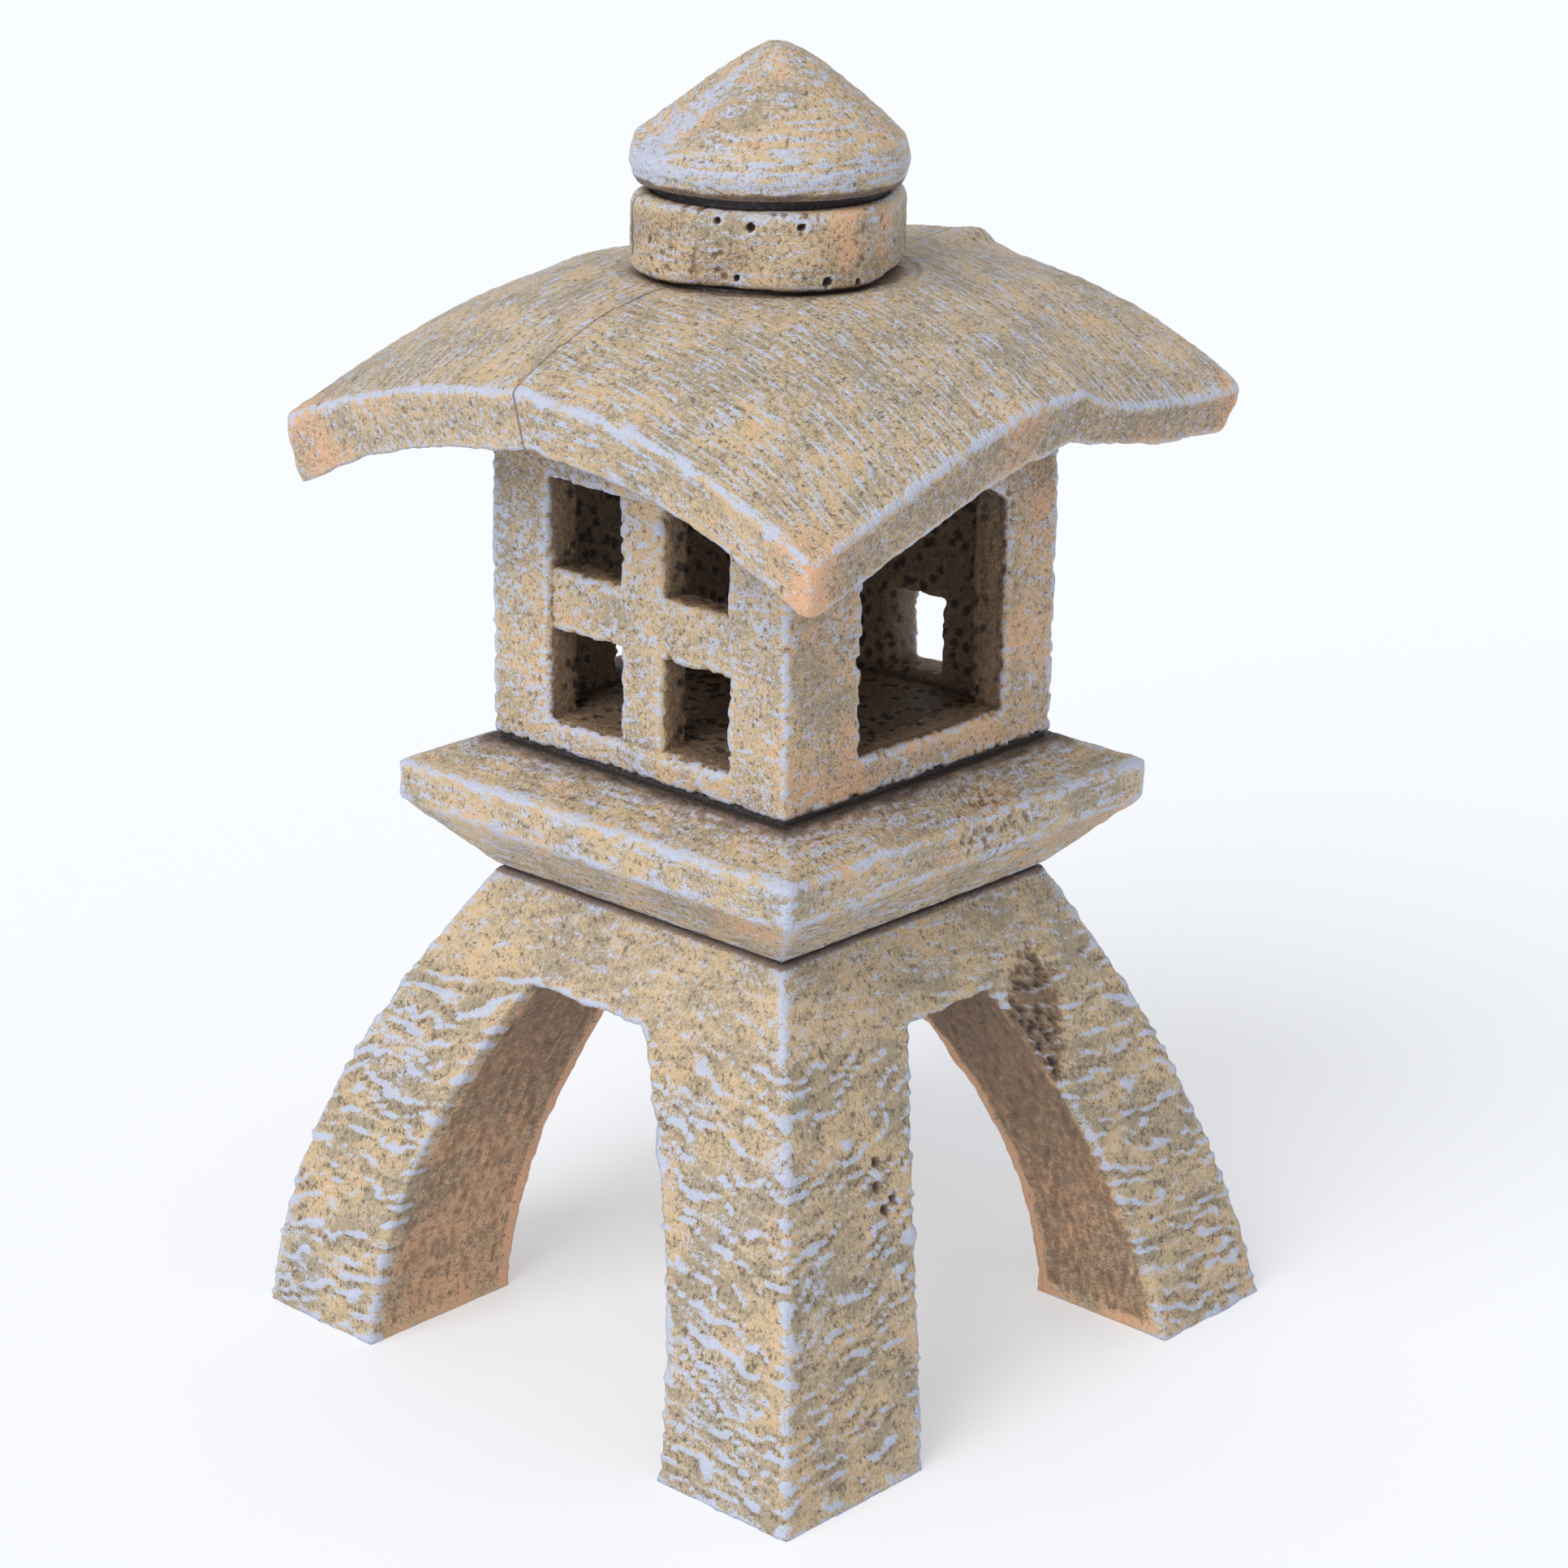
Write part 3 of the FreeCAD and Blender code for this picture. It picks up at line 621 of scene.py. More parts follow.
@dataclass
class Stone:
    """What all the stones share: easing of the arrises, general relief, and the way into the scene."""

    part: Part
    finish: StoneFinish
    seed: int
    easing: int = 2              # rounds that round the arrises
    grown: float = 0.3           # raised everywhere, to make up for what the easing takes off
    lump: float = 0.35           # height of the broad swells
    lump_size: float = 24.0
    grain: float = 0.16          # height of the coarse sand
    grain_size: float = 2.3
    ragged: float = 0.45         # how uneven the arrises are
    ragged_size: float = 5.0
    crest: float = 0.14          # the relief that counts as a full crest
    frayed: tuple[float, float] = (0.55, 1.1)    # how the pale blue comes and goes along the arrises
    room: Room = field(init=False)
    grit: Grit = field(init=False)

    def __post_init__(self) -> None:
        """Reads the stone's room from the frame and draws its noise."""
        self.room = Room.of(self.part.node)
        self.grit = Grit(self.seed)

    def shape(self) -> Skin:
        """The true shape, before wear."""
        raise NotImplementedError

    def relief(self, skin: Skin) -> Array:
        """Heights of the stone's own tooling."""
        return np.zeros(len(skin.points))

    def strokes(self, skin: Skin) -> Array:
        """Each point's place in the pattern of fine tool strokes, one unit per stroke."""
        return skin.points / 2.0

    def damage(self, skin: Skin) -> Array:
        """Chips and holes cut after the relief; returns the extra wash they hold."""
        return np.zeros(len(skin.points))

    def paint(self, skin: Skin, marks: Marks) -> None:
        """Adds the stone's own wash and painted shade, blush and frost."""

    def swell(self, skin: Skin, size: float, shift: float = 0.0) -> Array:
        """The stone's own noise of that size at each point, or at points shifted along every axis."""
        return self.grit.swell(skin.points + shift, size)

    def patches(self, skin: Skin, size: float, start: float, end: float, shift: float = 0.0) -> Array:
        """Soft-edged patches of that size, 0 where the noise is under start and 1 where it is over end."""
        return ramp(self.swell(skin, size, shift), start, end)

    def weather(self, skin: Skin) -> Array:
        """Broad swells, coarse sand, and a raggedness that grows towards the arrises."""
        places = skin.points
        corner = np.clip(np.abs(skin.standing(14)) / 0.7, 0.0, 1.0)
        return (self.lump * self.grit.swell(places, self.lump_size)
                + self.grain * self.grit.layered(places, self.grain_size)
                + self.ragged * corner * self.grit.layered(places + 50.0, self.ragged_size))

    def worn(self, skin: Skin) -> Array:
        """The points with their arrises eased."""
        return skin.eased(skin.points, self.easing)

    def bedded(self, skin: Skin) -> None:
        """Keeps the stone between its own top and bottom beds."""
        skin.points[:, 2] = np.clip(skin.points[:, 2], self.room.low[2], self.room.high[2])

    def build(self) -> bpy.types.Object:
        """Makes the stone, dresses it and hands it to the frame.

        Returns:
            The finished piece.
        """
        skin = self.shape()
        skin.points = self.worn(skin)
        strokes = self.strokes(skin)
        skin.raise_by(self.grown + self.weather(skin) + self.relief(skin))
        wash = self.damage(skin)
        self.bedded(skin)
        marks = Marks.of(skin, self.crest, strokes)
        marks.wash += wash
        always, swings = self.frayed
        marks.arris *= np.clip(always + swings * self.swell(skin, 3.4, 25.0), 0.0, 1.0)
        self.paint(skin, marks)
        node, body, slot = self.part.value
        piece = mesh_of(f"{node}_stone", skin, marks)
        piece.data.materials.append(self.finish.material())
        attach(piece, body)
        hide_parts(node)
        LOG.info("%s: %d faces", piece.name, len(skin.quads))
        return piece


@dataclass
class LegBase(Stone):
    """Four bowed legs growing from one block, with a tunnel each way between them."""

    arch: float = 90.2           # height of the tunnels' flat crown
    bow: float = 6.5             # outward bulge of the legs' outer faces at mid height
    share: float = 0.37          # part of the lattice's half width given to the tunnels
    pitch: float = 0.98          # of the lattice lines upwards
    pitch_across: float = 0.0193     # and across, as a share of the half width
    ridge: float = 0.34          # height of the tooled ridges
    ridge_pitch: float = 4.5
    ridged: Array = field(init=False)
    shoulder: float = 15.7       # how far the block's top stands in from the platform's edge
    smooth: float = 101.0        # the level above which there are no ridges
    tooled: float = 84.0         # the level below which they are full
    bare: tuple[float, float] = (97.0, 88.0)     # the same for the pale blue on them
    # each tunnel side: half width at the foot, at the crown, and its bulge, for -x, +x, -y and +y
    sides: tuple[tuple[float, float, float], ...] = ((39.8, 14.5, 4.2), (47.6, 15.2, 5.4),
                                                     (45.3, 12.8, 9.6), (48.6, 22.6, 6.2))
    # mouths of the air holes on the front leg's edge
    holes: tuple[tuple[float, float, float], ...] = ((-37.5, -68.0, 62.0), (-36.0, -66.5, 67.0),
                                                     (-34.0, -67.5, 59.0), (-37.0, -70.0, 57.0))

    def outer(self, level: Array, lean: Array | float = 0.0) -> Array:
        """Half width at a level.

        Args:
            level: heights.
            lean: 1 on the leg at -x, +y, which bows out more, and -1 on the opposite one.

        Returns:
            Half widths.
        """
        foot, head = self.room.half[0], Room.of(Part.PLATFORM.node).half[0] - self.shoulder
        return bowed(foot, head, self.bow + 1.6 * lean, level / self.room.high[2])

    def inner(self, level: Array, side: int) -> Array:
        """Half width of a tunnel's side at a level, steady above the crown."""
        return bowed(*self.sides[side], np.minimum(level / self.arch, 1.0))

    def across(self, along: Array, level: Array, low_side: int, lean: Array) -> Array:
        """Where a lattice line of -1 to 1 lies at a level.

        Inside the tunnel's share of the lattice it is spread over the tunnel, and outside over the leg.

        Args:
            along: lattice positions (n,).
            level: heights (n,).
            low_side: number of the tunnel side on the negative half; the next number is the positive one.
            lean: as for the outer half width.

        Returns:
            Distances from the middle (n,).
        """
        near = np.where(along < 0.0, self.inner(level, low_side), self.inner(level, low_side + 1))
        reach = np.abs(along)
        leg = near + (reach - self.share) / (1.0 - self.share) * (self.outer(level, lean) - near)
        return np.sign(along) * np.where(reach <= self.share, reach / self.share * near, leg)

    def shape(self) -> Skin:
        """A box lattice, empty in both tunnels, bent so that its cells follow the legs."""
        u = lines([-1.0, -self.share, self.share, 1.0], self.pitch_across)
        z = lines([0.0, self.arch, self.room.high[2]], self.pitch)
        middle = np.abs(middles(u)) < self.share
        gap = (middle[:, None, None] | middle[None, :, None]) & (middles(z) < self.arch)
        skin = Skin.of_cells(~gap, (u, u, z))
        along, beside, level = skin.points.T
        lean = np.clip((beside - along) / 1.4, -1.0, 1.0)
        x, y = self.across(along, level, 0, lean), self.across(beside, level, 2, lean)
        skin.points = np.stack([x, y, level], axis=1)
        return skin

    def outward(self, places: Array) -> Array:
        """1 on the four outer faces, falling to 0 at 4 mm inside them."""
        gap = self.outer(places[:, 2]) - np.abs(places[:, :2]).max(axis=1)
        return ramp(gap, 4.0, 2.4)

    def border(self, places: Array) -> Array:
        """Distance from the tunnels' nearer corner line, for points on the legs' inner faces."""
        x, y, z = places.T
        beside = np.abs(x) - np.where(x < 0.0, self.inner(z, 0), self.inner(z, 1))
        along = np.abs(y) - np.where(y < 0.0, self.inner(z, 2), self.inner(z, 3))
        return np.maximum(beside, along)

    def worn(self, skin: Skin) -> Array:
        """The feet keep sharp edges on the ground."""
        share = ramp(skin.points[:, 2], 0.0, 1.8)[:, None]
        return blend(skin.points, super().worn(skin), share)

    def weather(self, skin: Skin) -> Array:
        """The feet's edges stay close to the floor plan."""
        return super().weather(skin) * ramp(skin.points[:, 2], -3.0, 5.0)

    def course(self, places: Array) -> Array:
        """Place in the pattern of ridges: distance from the leg's arris, height less a slope, and a drift.

        The distance is negative on the y faces, so the pattern runs on round the arris, and the drift makes
        each leg its own. The ridges fall towards the arris, and steeper on the leg at -x, -y.
        """
        x, y, z = places.T
        aside = self.outer(z) - np.minimum(np.abs(x), np.abs(y))
        slope = 0.07 + 0.13 * ramp(x, 0.0, -16.0) * ramp(y, 0.0, -16.0)
        waver = 1.6 * self.grit.swell(places, 15.0)
        signed = np.where(np.abs(x) > np.abs(y), aside, -aside)
        return np.stack([signed, z - slope * aside + waver, (x + 1.7 * y) / 40.0], axis=1)

    def strokes(self, skin: Skin) -> Array:
        """Fine strokes lie along the ridges."""
        return self.course(skin.points) / np.array([5.0, 1.5, 1.0])

    def relief(self, skin: Skin) -> Array:
        """Broken ridges on the outer faces of the legs, dying out up the block, and scratches inside.

        A ridge stands wherever the height along the course is a whole number of pitches, give or take a
        waver, and its height comes and goes along its length.
        """
        places = skin.points
        course = self.course(places)
        fade = ramp(places[:, 2], self.smooth, self.tooled)
        broken = np.clip(0.70 + 1.5 * self.grit.swell(course + 9.0, np.array([8.0, 3.6, 1.0])), 0.0, 1.3)
        phase = course[:, 1] / self.ridge_pitch + 0.85 * self.grit.swell(course, np.array([15.0, 8.0, 1.0]))
        phase += 0.42 * self.grit.swell(course + 31.0, np.array([4.5, 3.5, 1.0]))
        ridges = 2.3 * (0.5 + 0.5 * np.cos(tau * phase)) ** 2.8 - 0.65
        fine = self.grit.crests(course + 31.0, np.array([6.0, 2.4, 1.0]))
        out = self.outward(places)
        self.ridged = (ridges * broken + 0.30 * fine) * fade * out
        coarse = 0.30 * (1.0 - fade) * self.grit.layered(places, np.array([6.0, 6.0, 2.6]))
        scratch = 0.14 * self.grit.crests(places, np.array([2.6, 2.6, 9.0]))
        return self.ridge * self.ridged + out * coarse + (1.0 - out) * scratch

    def damage(self, skin: Skin) -> Array:
        """The pitted shoulder beside the +x leg, and a cluster of pits on the front leg's edge."""
        x, y, z = skin.points.T
        patch = np.hypot((x - 25.5 - 0.25 * (z - 78.0)) / 9.5, (z - 78.0) / 18.0)
        rough = ramp(patch, 1.25, 0.7) * (y < -40.0) * self.outward(skin.points)
        pits = rough * ramp(self.grit.cells(skin.points, 2.6), 0.6, 0.25)
        skin.raise_by(-0.9 * pits - 0.5 * rough)
        wash = 0.40 * rough + 0.34 * pits
        for at in self.holes:
            wash += 0.8 * skin.bore(at, (-0.1, 1.0, 0.1), 1.5, 1.3)
        return wash

    def paint(self, skin: Skin, marks: Marks) -> None:
        """Brown wash and orange border in the tunnels, painted shade under the platform, blue on the ridges.
        """
        x, y, z = skin.points.T
        top = self.room.high[2]
        out = self.outward(skin.points)
        face = out * ramp(z, *self.bare)
        swell = self.swell(skin, 6.0)
        border = self.border(skin.points)
        panel = (1.0 - out) * ramp(border + swell, 2.2, 4.0) * ramp(z + swell, 2.0, 4.0)
        strip = (1.0 - out) * ramp(border, 3.4, 2.2)
        shade = out * (y < 0.0) * (np.abs(y) > np.abs(x)) * (x > 0.0)
        scored = self.grit.crests(skin.points, np.array([2.4, 2.4, 8.0]))
        # the dark scratched panels in the tunnels, darker towards the crown and on the +x leg
        marks.wash += panel * (0.36 + 0.20 * ramp(z, 20.0, 85.0) - 0.12 * scored + 0.10 * (x > 0.0))
        # painted shade: dark at the legs' tops under the platform, and a little on the +x leg's -y face
        marks.wash += 0.9 * ramp(z, top - 1.8, top - 0.2) * out + 0.07 * shade - 0.1 * strip
        marks.blush += 0.45 * (1.0 - out) + 0.55 * strip
        marks.blush += 0.6 * marks.arris * self.swell(skin, 9.0)
        marks.crest = blend(marks.crest, np.clip(1.4 * self.ridged - 0.3, -1.3, 1.3), 0.6 * face)
        marks.frost += 0.42 * (ramp(self.ridged, 0.65, 1.45) - 0.24) * face - 0.35 * (1.0 - out)
        bloom = self.patches(skin, 30.0, -0.1, 0.5, 70.0)
        marks.frost += 0.25 * bloom * out * (x < -60.0)


@dataclass
class Platform(Stone):
    """The square slab: a bevel below, an upright edge, and a weathered top that rises to a flat seat."""

    bevel: float = 16.2
    edge: float = 8.8
    slope: float = 6.2
    foot: float = 44.3           # half width at the bottom
    seat: float = 45.7           # half width of the flat seat
    spread: float = 0.5          # how far the edge stands past the frame's solid
    pitch: float = 0.85

    def shape(self) -> Skin:
        """A square lattice whose sides follow the profile and whose top rises with the distance inwards."""
        low, high = self.room.low[2], self.room.high[2]
        half = self.room.half[0] + self.spread
        u = lines([-1.0, 1.0], self.pitch / half)
        z = lines([low, low + self.bevel, low + self.bevel + self.edge], self.pitch)
        skin = Skin.of_cells(np.ones((len(u) - 1, len(u) - 1, len(z) - 1), bool), (u, u, z))
        along, beside, level = skin.points.T
        width = blend(self.foot, half, np.clip((level - low) / self.bevel, 0.0, 1.0))
        x, y = along * width, beside * width
        inwards = (half - np.maximum(np.abs(x), np.abs(y))) / (half - self.seat)
        top = level > z[-1] - 1e-6
        level = np.where(top, level + self.slope * np.clip(inwards, 0.0, 1.0), level)
        skin.points = np.stack([x, y, np.minimum(level, high)], axis=1)
        return skin

    def strokes(self, skin: Skin) -> Array:
        """Smears run level along the edges: the first number goes round the slab, the second inwards."""
        x, y, z = skin.points.T
        reach = np.maximum(np.maximum(np.abs(x), np.abs(y)), 1.0)
        share = np.where(np.abs(x) > np.abs(y), y * np.sign(x), -x * np.sign(y)) / reach
        quarter = np.where(np.abs(x) > np.abs(y), np.where(x < 0.0, 1.0, 3.0), np.where(y < 0.0, 2.0, 0.0))
        return np.stack([10.0 * (2.0 * quarter + share), reach / 1.6, z / 1.6], axis=1)

    def relief(self, skin: Skin) -> Array:
        """Low courses along the edges."""
        return 0.16 * self.grit.crests(self.strokes(skin) * 1.6, np.array([3.0, 2.2, 2.2]))

    def damage(self, skin: Skin) -> Array:
        """Pits in the middle of the -y edge."""
        x, y, z = skin.points.T
        rough = ramp(np.hypot((x - 8.0) / 1.4, (z - 132.0) * 1.3), 13.0, 6.0) * (y < -50.0)
        skin.raise_by(-0.55 * rough * ramp(self.grit.cells(skin.points, 2.6), 0.5, 0.2))
        return 0.25 * rough

    def paint(self, skin: Skin, marks: Marks) -> None:
        """Painted shade round the chamber's foot, along the bottom and on the -y bevel, and orange on the
        edges.
        """
        x, y, z = skin.points.T
        low, high = self.room.low[2], self.room.high[2]
        reach = np.maximum(np.abs(x), np.abs(y))
        swell = self.swell(skin, 5.0)
        top = z > high - 5.0
        # painted shade: a dark ring and a darker band on the top round the chamber's foot
        chamber_foot_shade = ramp(reach + 0.8 * swell, 49.5, 46.0) * (z > high - 4.0)
        inner = ramp(reach + swell, 56.0, 47.0) * top
        # painted shade along the bottom against the legs and on the -y bevel; a little darker over the top
        marks.wash += 0.55 * chamber_foot_shade + 0.30 * inner + 0.30 * ramp(z, low + 2.7, low + 0.4)
        marks.wash += 0.12 * (z < low + self.bevel - 1.0) * (y < -44.0) + 0.13 * top
        marks.blush += 0.4 * self.patches(skin, 16.0, 0.1, 0.6) * (reach > 52.0)
        marks.frost += 0.20 * inner


@dataclass
class FireChamber(Stone):
    """The light box: four panes in the -x wall, an arched portal in -y, one plain window in +x and in +y."""

    wall: float = 9.4
    floor: float = 6.5
    pane: float = 21.8
    pane_height: float = 21.5
    mullion: float = 6.15        # half the upright bar's width
    transom: float = 13.5        # the level bar's height
    recess: float = 1.5          # how far the lattice stands behind the wall's face
    shift: float = -0.4          # the lattice's middle, along y
    window_right: float = -12.2  # the +x window's middle, along y
    window_back: float = -7.5    # the +y window's middle, along x
    window: float = 7.8          # half the windows' width
    window_sill: float = 2.4     # height of the windows' sill above the floor
    portal: float = 24.5         # half the portal's width
    portal_shift: float = 3.2    # its middle, along x
    sill: float = 8.5            # the portal's foot above the chamber's
    spring: float = 58.0         # where its arch begins
    rise: float = 8.0            # of the portal's arched head
    pitch: float = 0.93

    def shape(self) -> Skin:
        """A box lattice keyed to every wall, bar and opening, with the portal's head bent to an arch."""
        half, low, high = self.room.half[0], self.room.low[2], self.room.high[2]
        inner = half - self.wall
        left, right = self.portal_shift - self.portal, self.portal_shift + self.portal
        bars = (self.shift - self.mullion, self.shift + self.mullion)
        field_low, field_high = bars[0] - self.pane, bars[1] + self.pane
        back = (self.window_back - self.window, self.window_back + self.window)
        side = (self.window_right - self.window, self.window_right + self.window)
        rows = low + self.floor + np.cumsum([0.0, self.pane_height, self.transom, self.pane_height])
        x = lines(sorted({-half, self.recess - half, -inner, left, *back, right, inner, half}), self.pitch)
        y = lines(sorted({-half, -inner, field_low, *side, *bars, field_high, inner, half}), self.pitch)
        ledge = rows[0] + self.window_sill
        z = lines(sorted({low, low + self.sill, ledge, low + self.spring, high, *rows}), self.pitch)
        gx, gy, gz = np.meshgrid(middles(x), middles(y), middles(z), indexing="ij")
        panes = within(gz, rows[0], rows[1]) | within(gz, rows[2], rows[3])
        window = within(gz, ledge, rows[1])
        hollow = (np.abs(gx) < inner) & (np.abs(gy) < inner) & (gz > rows[0])
        hollow |= (gy < -inner) & within(gx, left, right) & within(gz, low + self.sill, low + self.spring)
        hollow |= (gx > inner) & within(gy, *side) & window
        hollow |= (gy > inner) & within(gx, *back) & window
        lattice = (gx < -inner) & within(gy, field_low, field_high)
        hollow |= lattice & (np.abs(gy - self.shift) > self.mullion) & panes
        hollow |= lattice & (gx < self.recess - half) & within(gz, rows[0], rows[3])
        skin = Skin.of_cells(~hollow, (x, y, z))
        px, py, pz = skin.points.T
        off = np.clip((px - self.portal_shift) / self.portal, -1.0, 1.0)
        crown = low + self.spring
        weight = np.where(pz < crown, ramp(pz, crown - 14.0, crown), (high - pz) / (high - crown))
        arch = self.rise * (1.0 - off * off) * weight * (py < 0.5 - inner)
        skin.points[:, 2] = np.minimum(pz + arch, high)
        return skin

    def strokes(self, skin: Skin) -> Array:
        """Short level smears."""
        return skin.points / np.array([2.6, 2.6, 1.5])

    def depth_in(self, places: Array) -> Array:
        """How far a point lies behind the nearest outer face."""
        return self.room.half[0] - np.abs(places[:, :2]).max(axis=1)

    def damage(self, skin: Skin) -> Array:
        """Bites out of the arrises, and coarse pits in the inner faces and on the posts."""
        corner = np.clip(skin.standing(8) / 0.5, 0.0, 1.0)
        skin.raise_by(-1.0 * corner * ramp(self.grit.layered(skin.points + 9.0, 2.8), 0.0, 0.7))
        inside = ramp(self.depth_in(skin.points), 3.0, 8.0)
        pits = ramp(self.grit.cells(skin.points, 3.4), 0.42, 0.2)
        skin.raise_by(-(0.12 + 0.35 * inside) * pits)
        return 0.25 * pits * inside

    def paint(self, skin: Skin, marks: Marks) -> None:
        """Painted shade: nearly black inside, brown in the reveals, dark at the foot, under the roof and on
        the -y face; blue on the posts' edges.
        """
        x, y, z = skin.points.T
        half, low = self.room.half[0], self.room.low[2]
        ragged = self.depth_in(skin.points) + 0.7 * self.swell(skin, 4.0)
        facing = np.abs(skin.normals())
        reveal = ramp(np.where(np.abs(x) > np.abs(y), facing[:, 0], facing[:, 1]), 0.75, 0.35)
        front = y < -43.0
        # painted shade inside the chamber and in the reveals
        marks.wash += 0.50 * np.maximum(ramp(ragged, 2.4, 3.6), reveal * ramp(ragged, 0.2, 1.0))
        marks.wash += 0.20 * ramp(ragged, 3.0, 9.0)
        # painted shade at the foot, under the roof, and down the -y face, deepening towards the roof
        marks.wash += 0.5 * ramp(z, low + 1.4, low + 0.2) + 0.45 * ramp(z, 212.0, 220.0)
        marks.wash += (0.19 + 0.14 * ramp(z, 180.0, 210.0)) * front
        marks.frost -= 0.6 * ramp(ragged, 1.2, 3.0)
        marks.frost += 0.12 * self.patches(skin, 20.0, -0.1, 0.5)
        marks.blush += 0.3 * front + 0.25 * self.patches(skin, 14.0, 0.0, 0.6, 40.0)
        marks.arris *= 0.30 + 0.70 * ramp(np.minimum(np.abs(x), np.abs(y)), half - 4.0, half - 2.0)


@dataclass
class Roof(Stone):
    """The vaulted slab over its square boss, a little askew, with drooping corners and uneven eaves."""

    half: float = 76.0           # half width at the eaves' upper edge
    level_part: float = 15.0     # half width of the level middle
    thick: float = 12.8
    inset: float = 3.0           # how much less it is at the lower edge
    boss: float = 47.0           # half width of the boss
    twist: float = 2.8           # degrees
    crown: float = 251.5         # level of the middle
    pitch: float = 0.80
    corner: float = 2.4          # how much of each corner is cut off
    # the low ridges: the point where each meets its eave, in half widths, and its height there
    kinks: tuple[tuple[float, float, float], ...] = ((-1.0, 0.046, 1.3), (0.237, -1.0, 0.2),
                                                     (1.0, -0.07, 1.3), (0.07, 1.0, 1.3))
    below: Array = field(init=False)     # each point's depth under the upper surface

    def droop(self, share: Array) -> Array:
        """Fall along the middle of a side: the square of the share of the way past the level part."""
        return np.maximum((self.half * share - self.level_part) / (self.half - self.level_part), 0.0) ** 2

    def top(self, u: Array, v: Array) -> Array:
        """Height of the upper surface.

        The crown less two falls: one by the distance along x, one along y. Each fall is mixed between its
        mid-side form and its eave form by the square of the other distance. Low ridges run from the crown
        to the kink in each eave, and the far half of the +x eave stands up in a low step.

        Args:
            u: distance along the roof's x as a share of its half width.
            v: the same along y.

        Returns:
            Heights.
        """
        reach_u, reach_v = np.abs(u), np.abs(v)
        mid_u = np.where(u < 0.0, 17.5, 7.2) * self.droop(reach_u)
        late = 8.5 * (1.0 - np.exp(-np.maximum(u - 0.2, 0.0) / 0.20))
        early = np.where(v < 0.0, 19.5 * reach_u ** 1.2 - 2.1 * u * u, 15.0 * reach_u ** 1.44)
        end_u = np.where(u < 0.0, early, late)
        mid_v = np.where(v < 0.0, 19.9, 16.3) * self.droop(reach_v)
        far = 8.4 * reach_v ** 1.2 + 12.6 * reach_v ** 3
        end_v = np.where(u < 0.0, np.where(v < 0.0, 22.0, 19.5) * v * v, far)
        fall = blend(mid_u, end_u, v * v) + blend(mid_v, end_v, u * u)
        ridge = np.zeros(np.shape(u))
        for kink_u, kink_v, rise in self.kinks:
            length = np.hypot(kink_u, kink_v)
            ahead = (u * kink_u + v * kink_v) / length
            aside = (u * kink_v - v * kink_u) / length
            ridge += rise * np.exp(-(aside / 0.06) ** 2) * ramp(ahead, 0.3, 0.9)
        step = 3.0 * ramp(v, -0.08, -0.02) * ramp(v, 0.6, 0.2) * ramp(u, 0.7, 0.95)
        return self.crown - fall + ridge + step

    def shape(self) -> Skin:
        """A square lattice, with rows of boss cells under the slab's rows, bent to the heights."""
        low = self.room.low[2]
        floor = Room.of("roof_bed").high[2]
        narrow = 1.0 - self.inset / self.half
        key = self.boss / self.half / narrow
        u = lines([-1.0, -key, key, 1.0], self.pitch / self.half)
        rows = lines([-1.0, 0.0], 0.16)
        rows = np.append(rows[:-1], lines([0.0, 1.0], self.pitch / self.thick))
        outside = np.abs(middles(u)) > key
        solid = ~((outside[:, None, None] | outside[None, :, None]) & (middles(rows) < 0.0))
        skin = Skin.of_cells(solid, (u, u, rows))
        along, beside, row = skin.points.T
        width = self.half * blend(narrow, 1.0, np.clip(row, 0.0, 1.0))
        upper = np.minimum(self.top(along, beside), Room.of("collar_bed").low[2])
        thinner = (4.4 * ramp(along, 0.0, 0.42) - 1.2 * ramp(along, 0.5, 0.72)) * ramp(beside, -0.3, -0.9)
        thicker = 1.4 * ramp(beside, 0.7, 1.0) * ramp(along, -0.5, -0.9)
        under = upper - self.thick + thinner - thicker
        self.below = self.thick * (1.0 - np.clip(row, 0.0, 1.0))
        level = np.where(row < 0.0, blend(under, floor, -row), blend(under, upper, row))
        x, y = along * width, beside * width
        excess = np.maximum(np.abs(x) + np.abs(y) - (2.0 * self.half - self.corner), 0.0) / 2.0
        x, y = x - np.sign(x) * excess, y - np.sign(y) * excess
        x, y = turned(x, y, self.twist)
        centre = Room.of("collar_bed").centre
        skin.points = np.stack([centre[0] + x, centre[1] + y, np.maximum(level, low)], axis=1)
        return skin

    def strokes(self, skin: Skin) -> Array:
        """Strokes run down the slope: along y on the -y half and along x on the other."""
        x, y, z = skin.points.T
        front = y < 3.5
        ahead, aside = np.where(front, y, x), np.where(front, x, y)
        waver = 1.4 * self.swell(skin, 22.0)
        return np.stack([ahead / 6.5, (aside + waver) / 0.95, self.below / 1.6], axis=1)

    def relief(self, skin: Skin) -> Array:
        """Fine strokes on the upper surface."""
        strokes = self.strokes(skin)
        top = ramp(skin.normals()[:, 2], 0.4, 0.7)
        fine, broad = self.grit.crests(strokes * 0.5, 1.0), self.grit.swell(strokes * 0.3, 1.0)
        return top * (0.17 * fine + 0.12 * broad)

    def bedded(self, skin: Skin) -> None:
        """Keeps the boss above its bed and the seat flat under the collar."""
        seat = Room.of("collar_bed")
        boss = Room.of("roof_bed").high[2]
        x, y, z = skin.points.T
        z = np.maximum(z, self.room.low[2])
        z = np.where(np.hypot(x - seat.centre[0], y - seat.centre[1]) < 34.0, np.minimum(z, seat.low[2]), z)
        inside = np.maximum(np.abs(x), np.abs(y)) < 45.5
        skin.points[:, 2] = np.where(inside, np.maximum(z, boss), z)

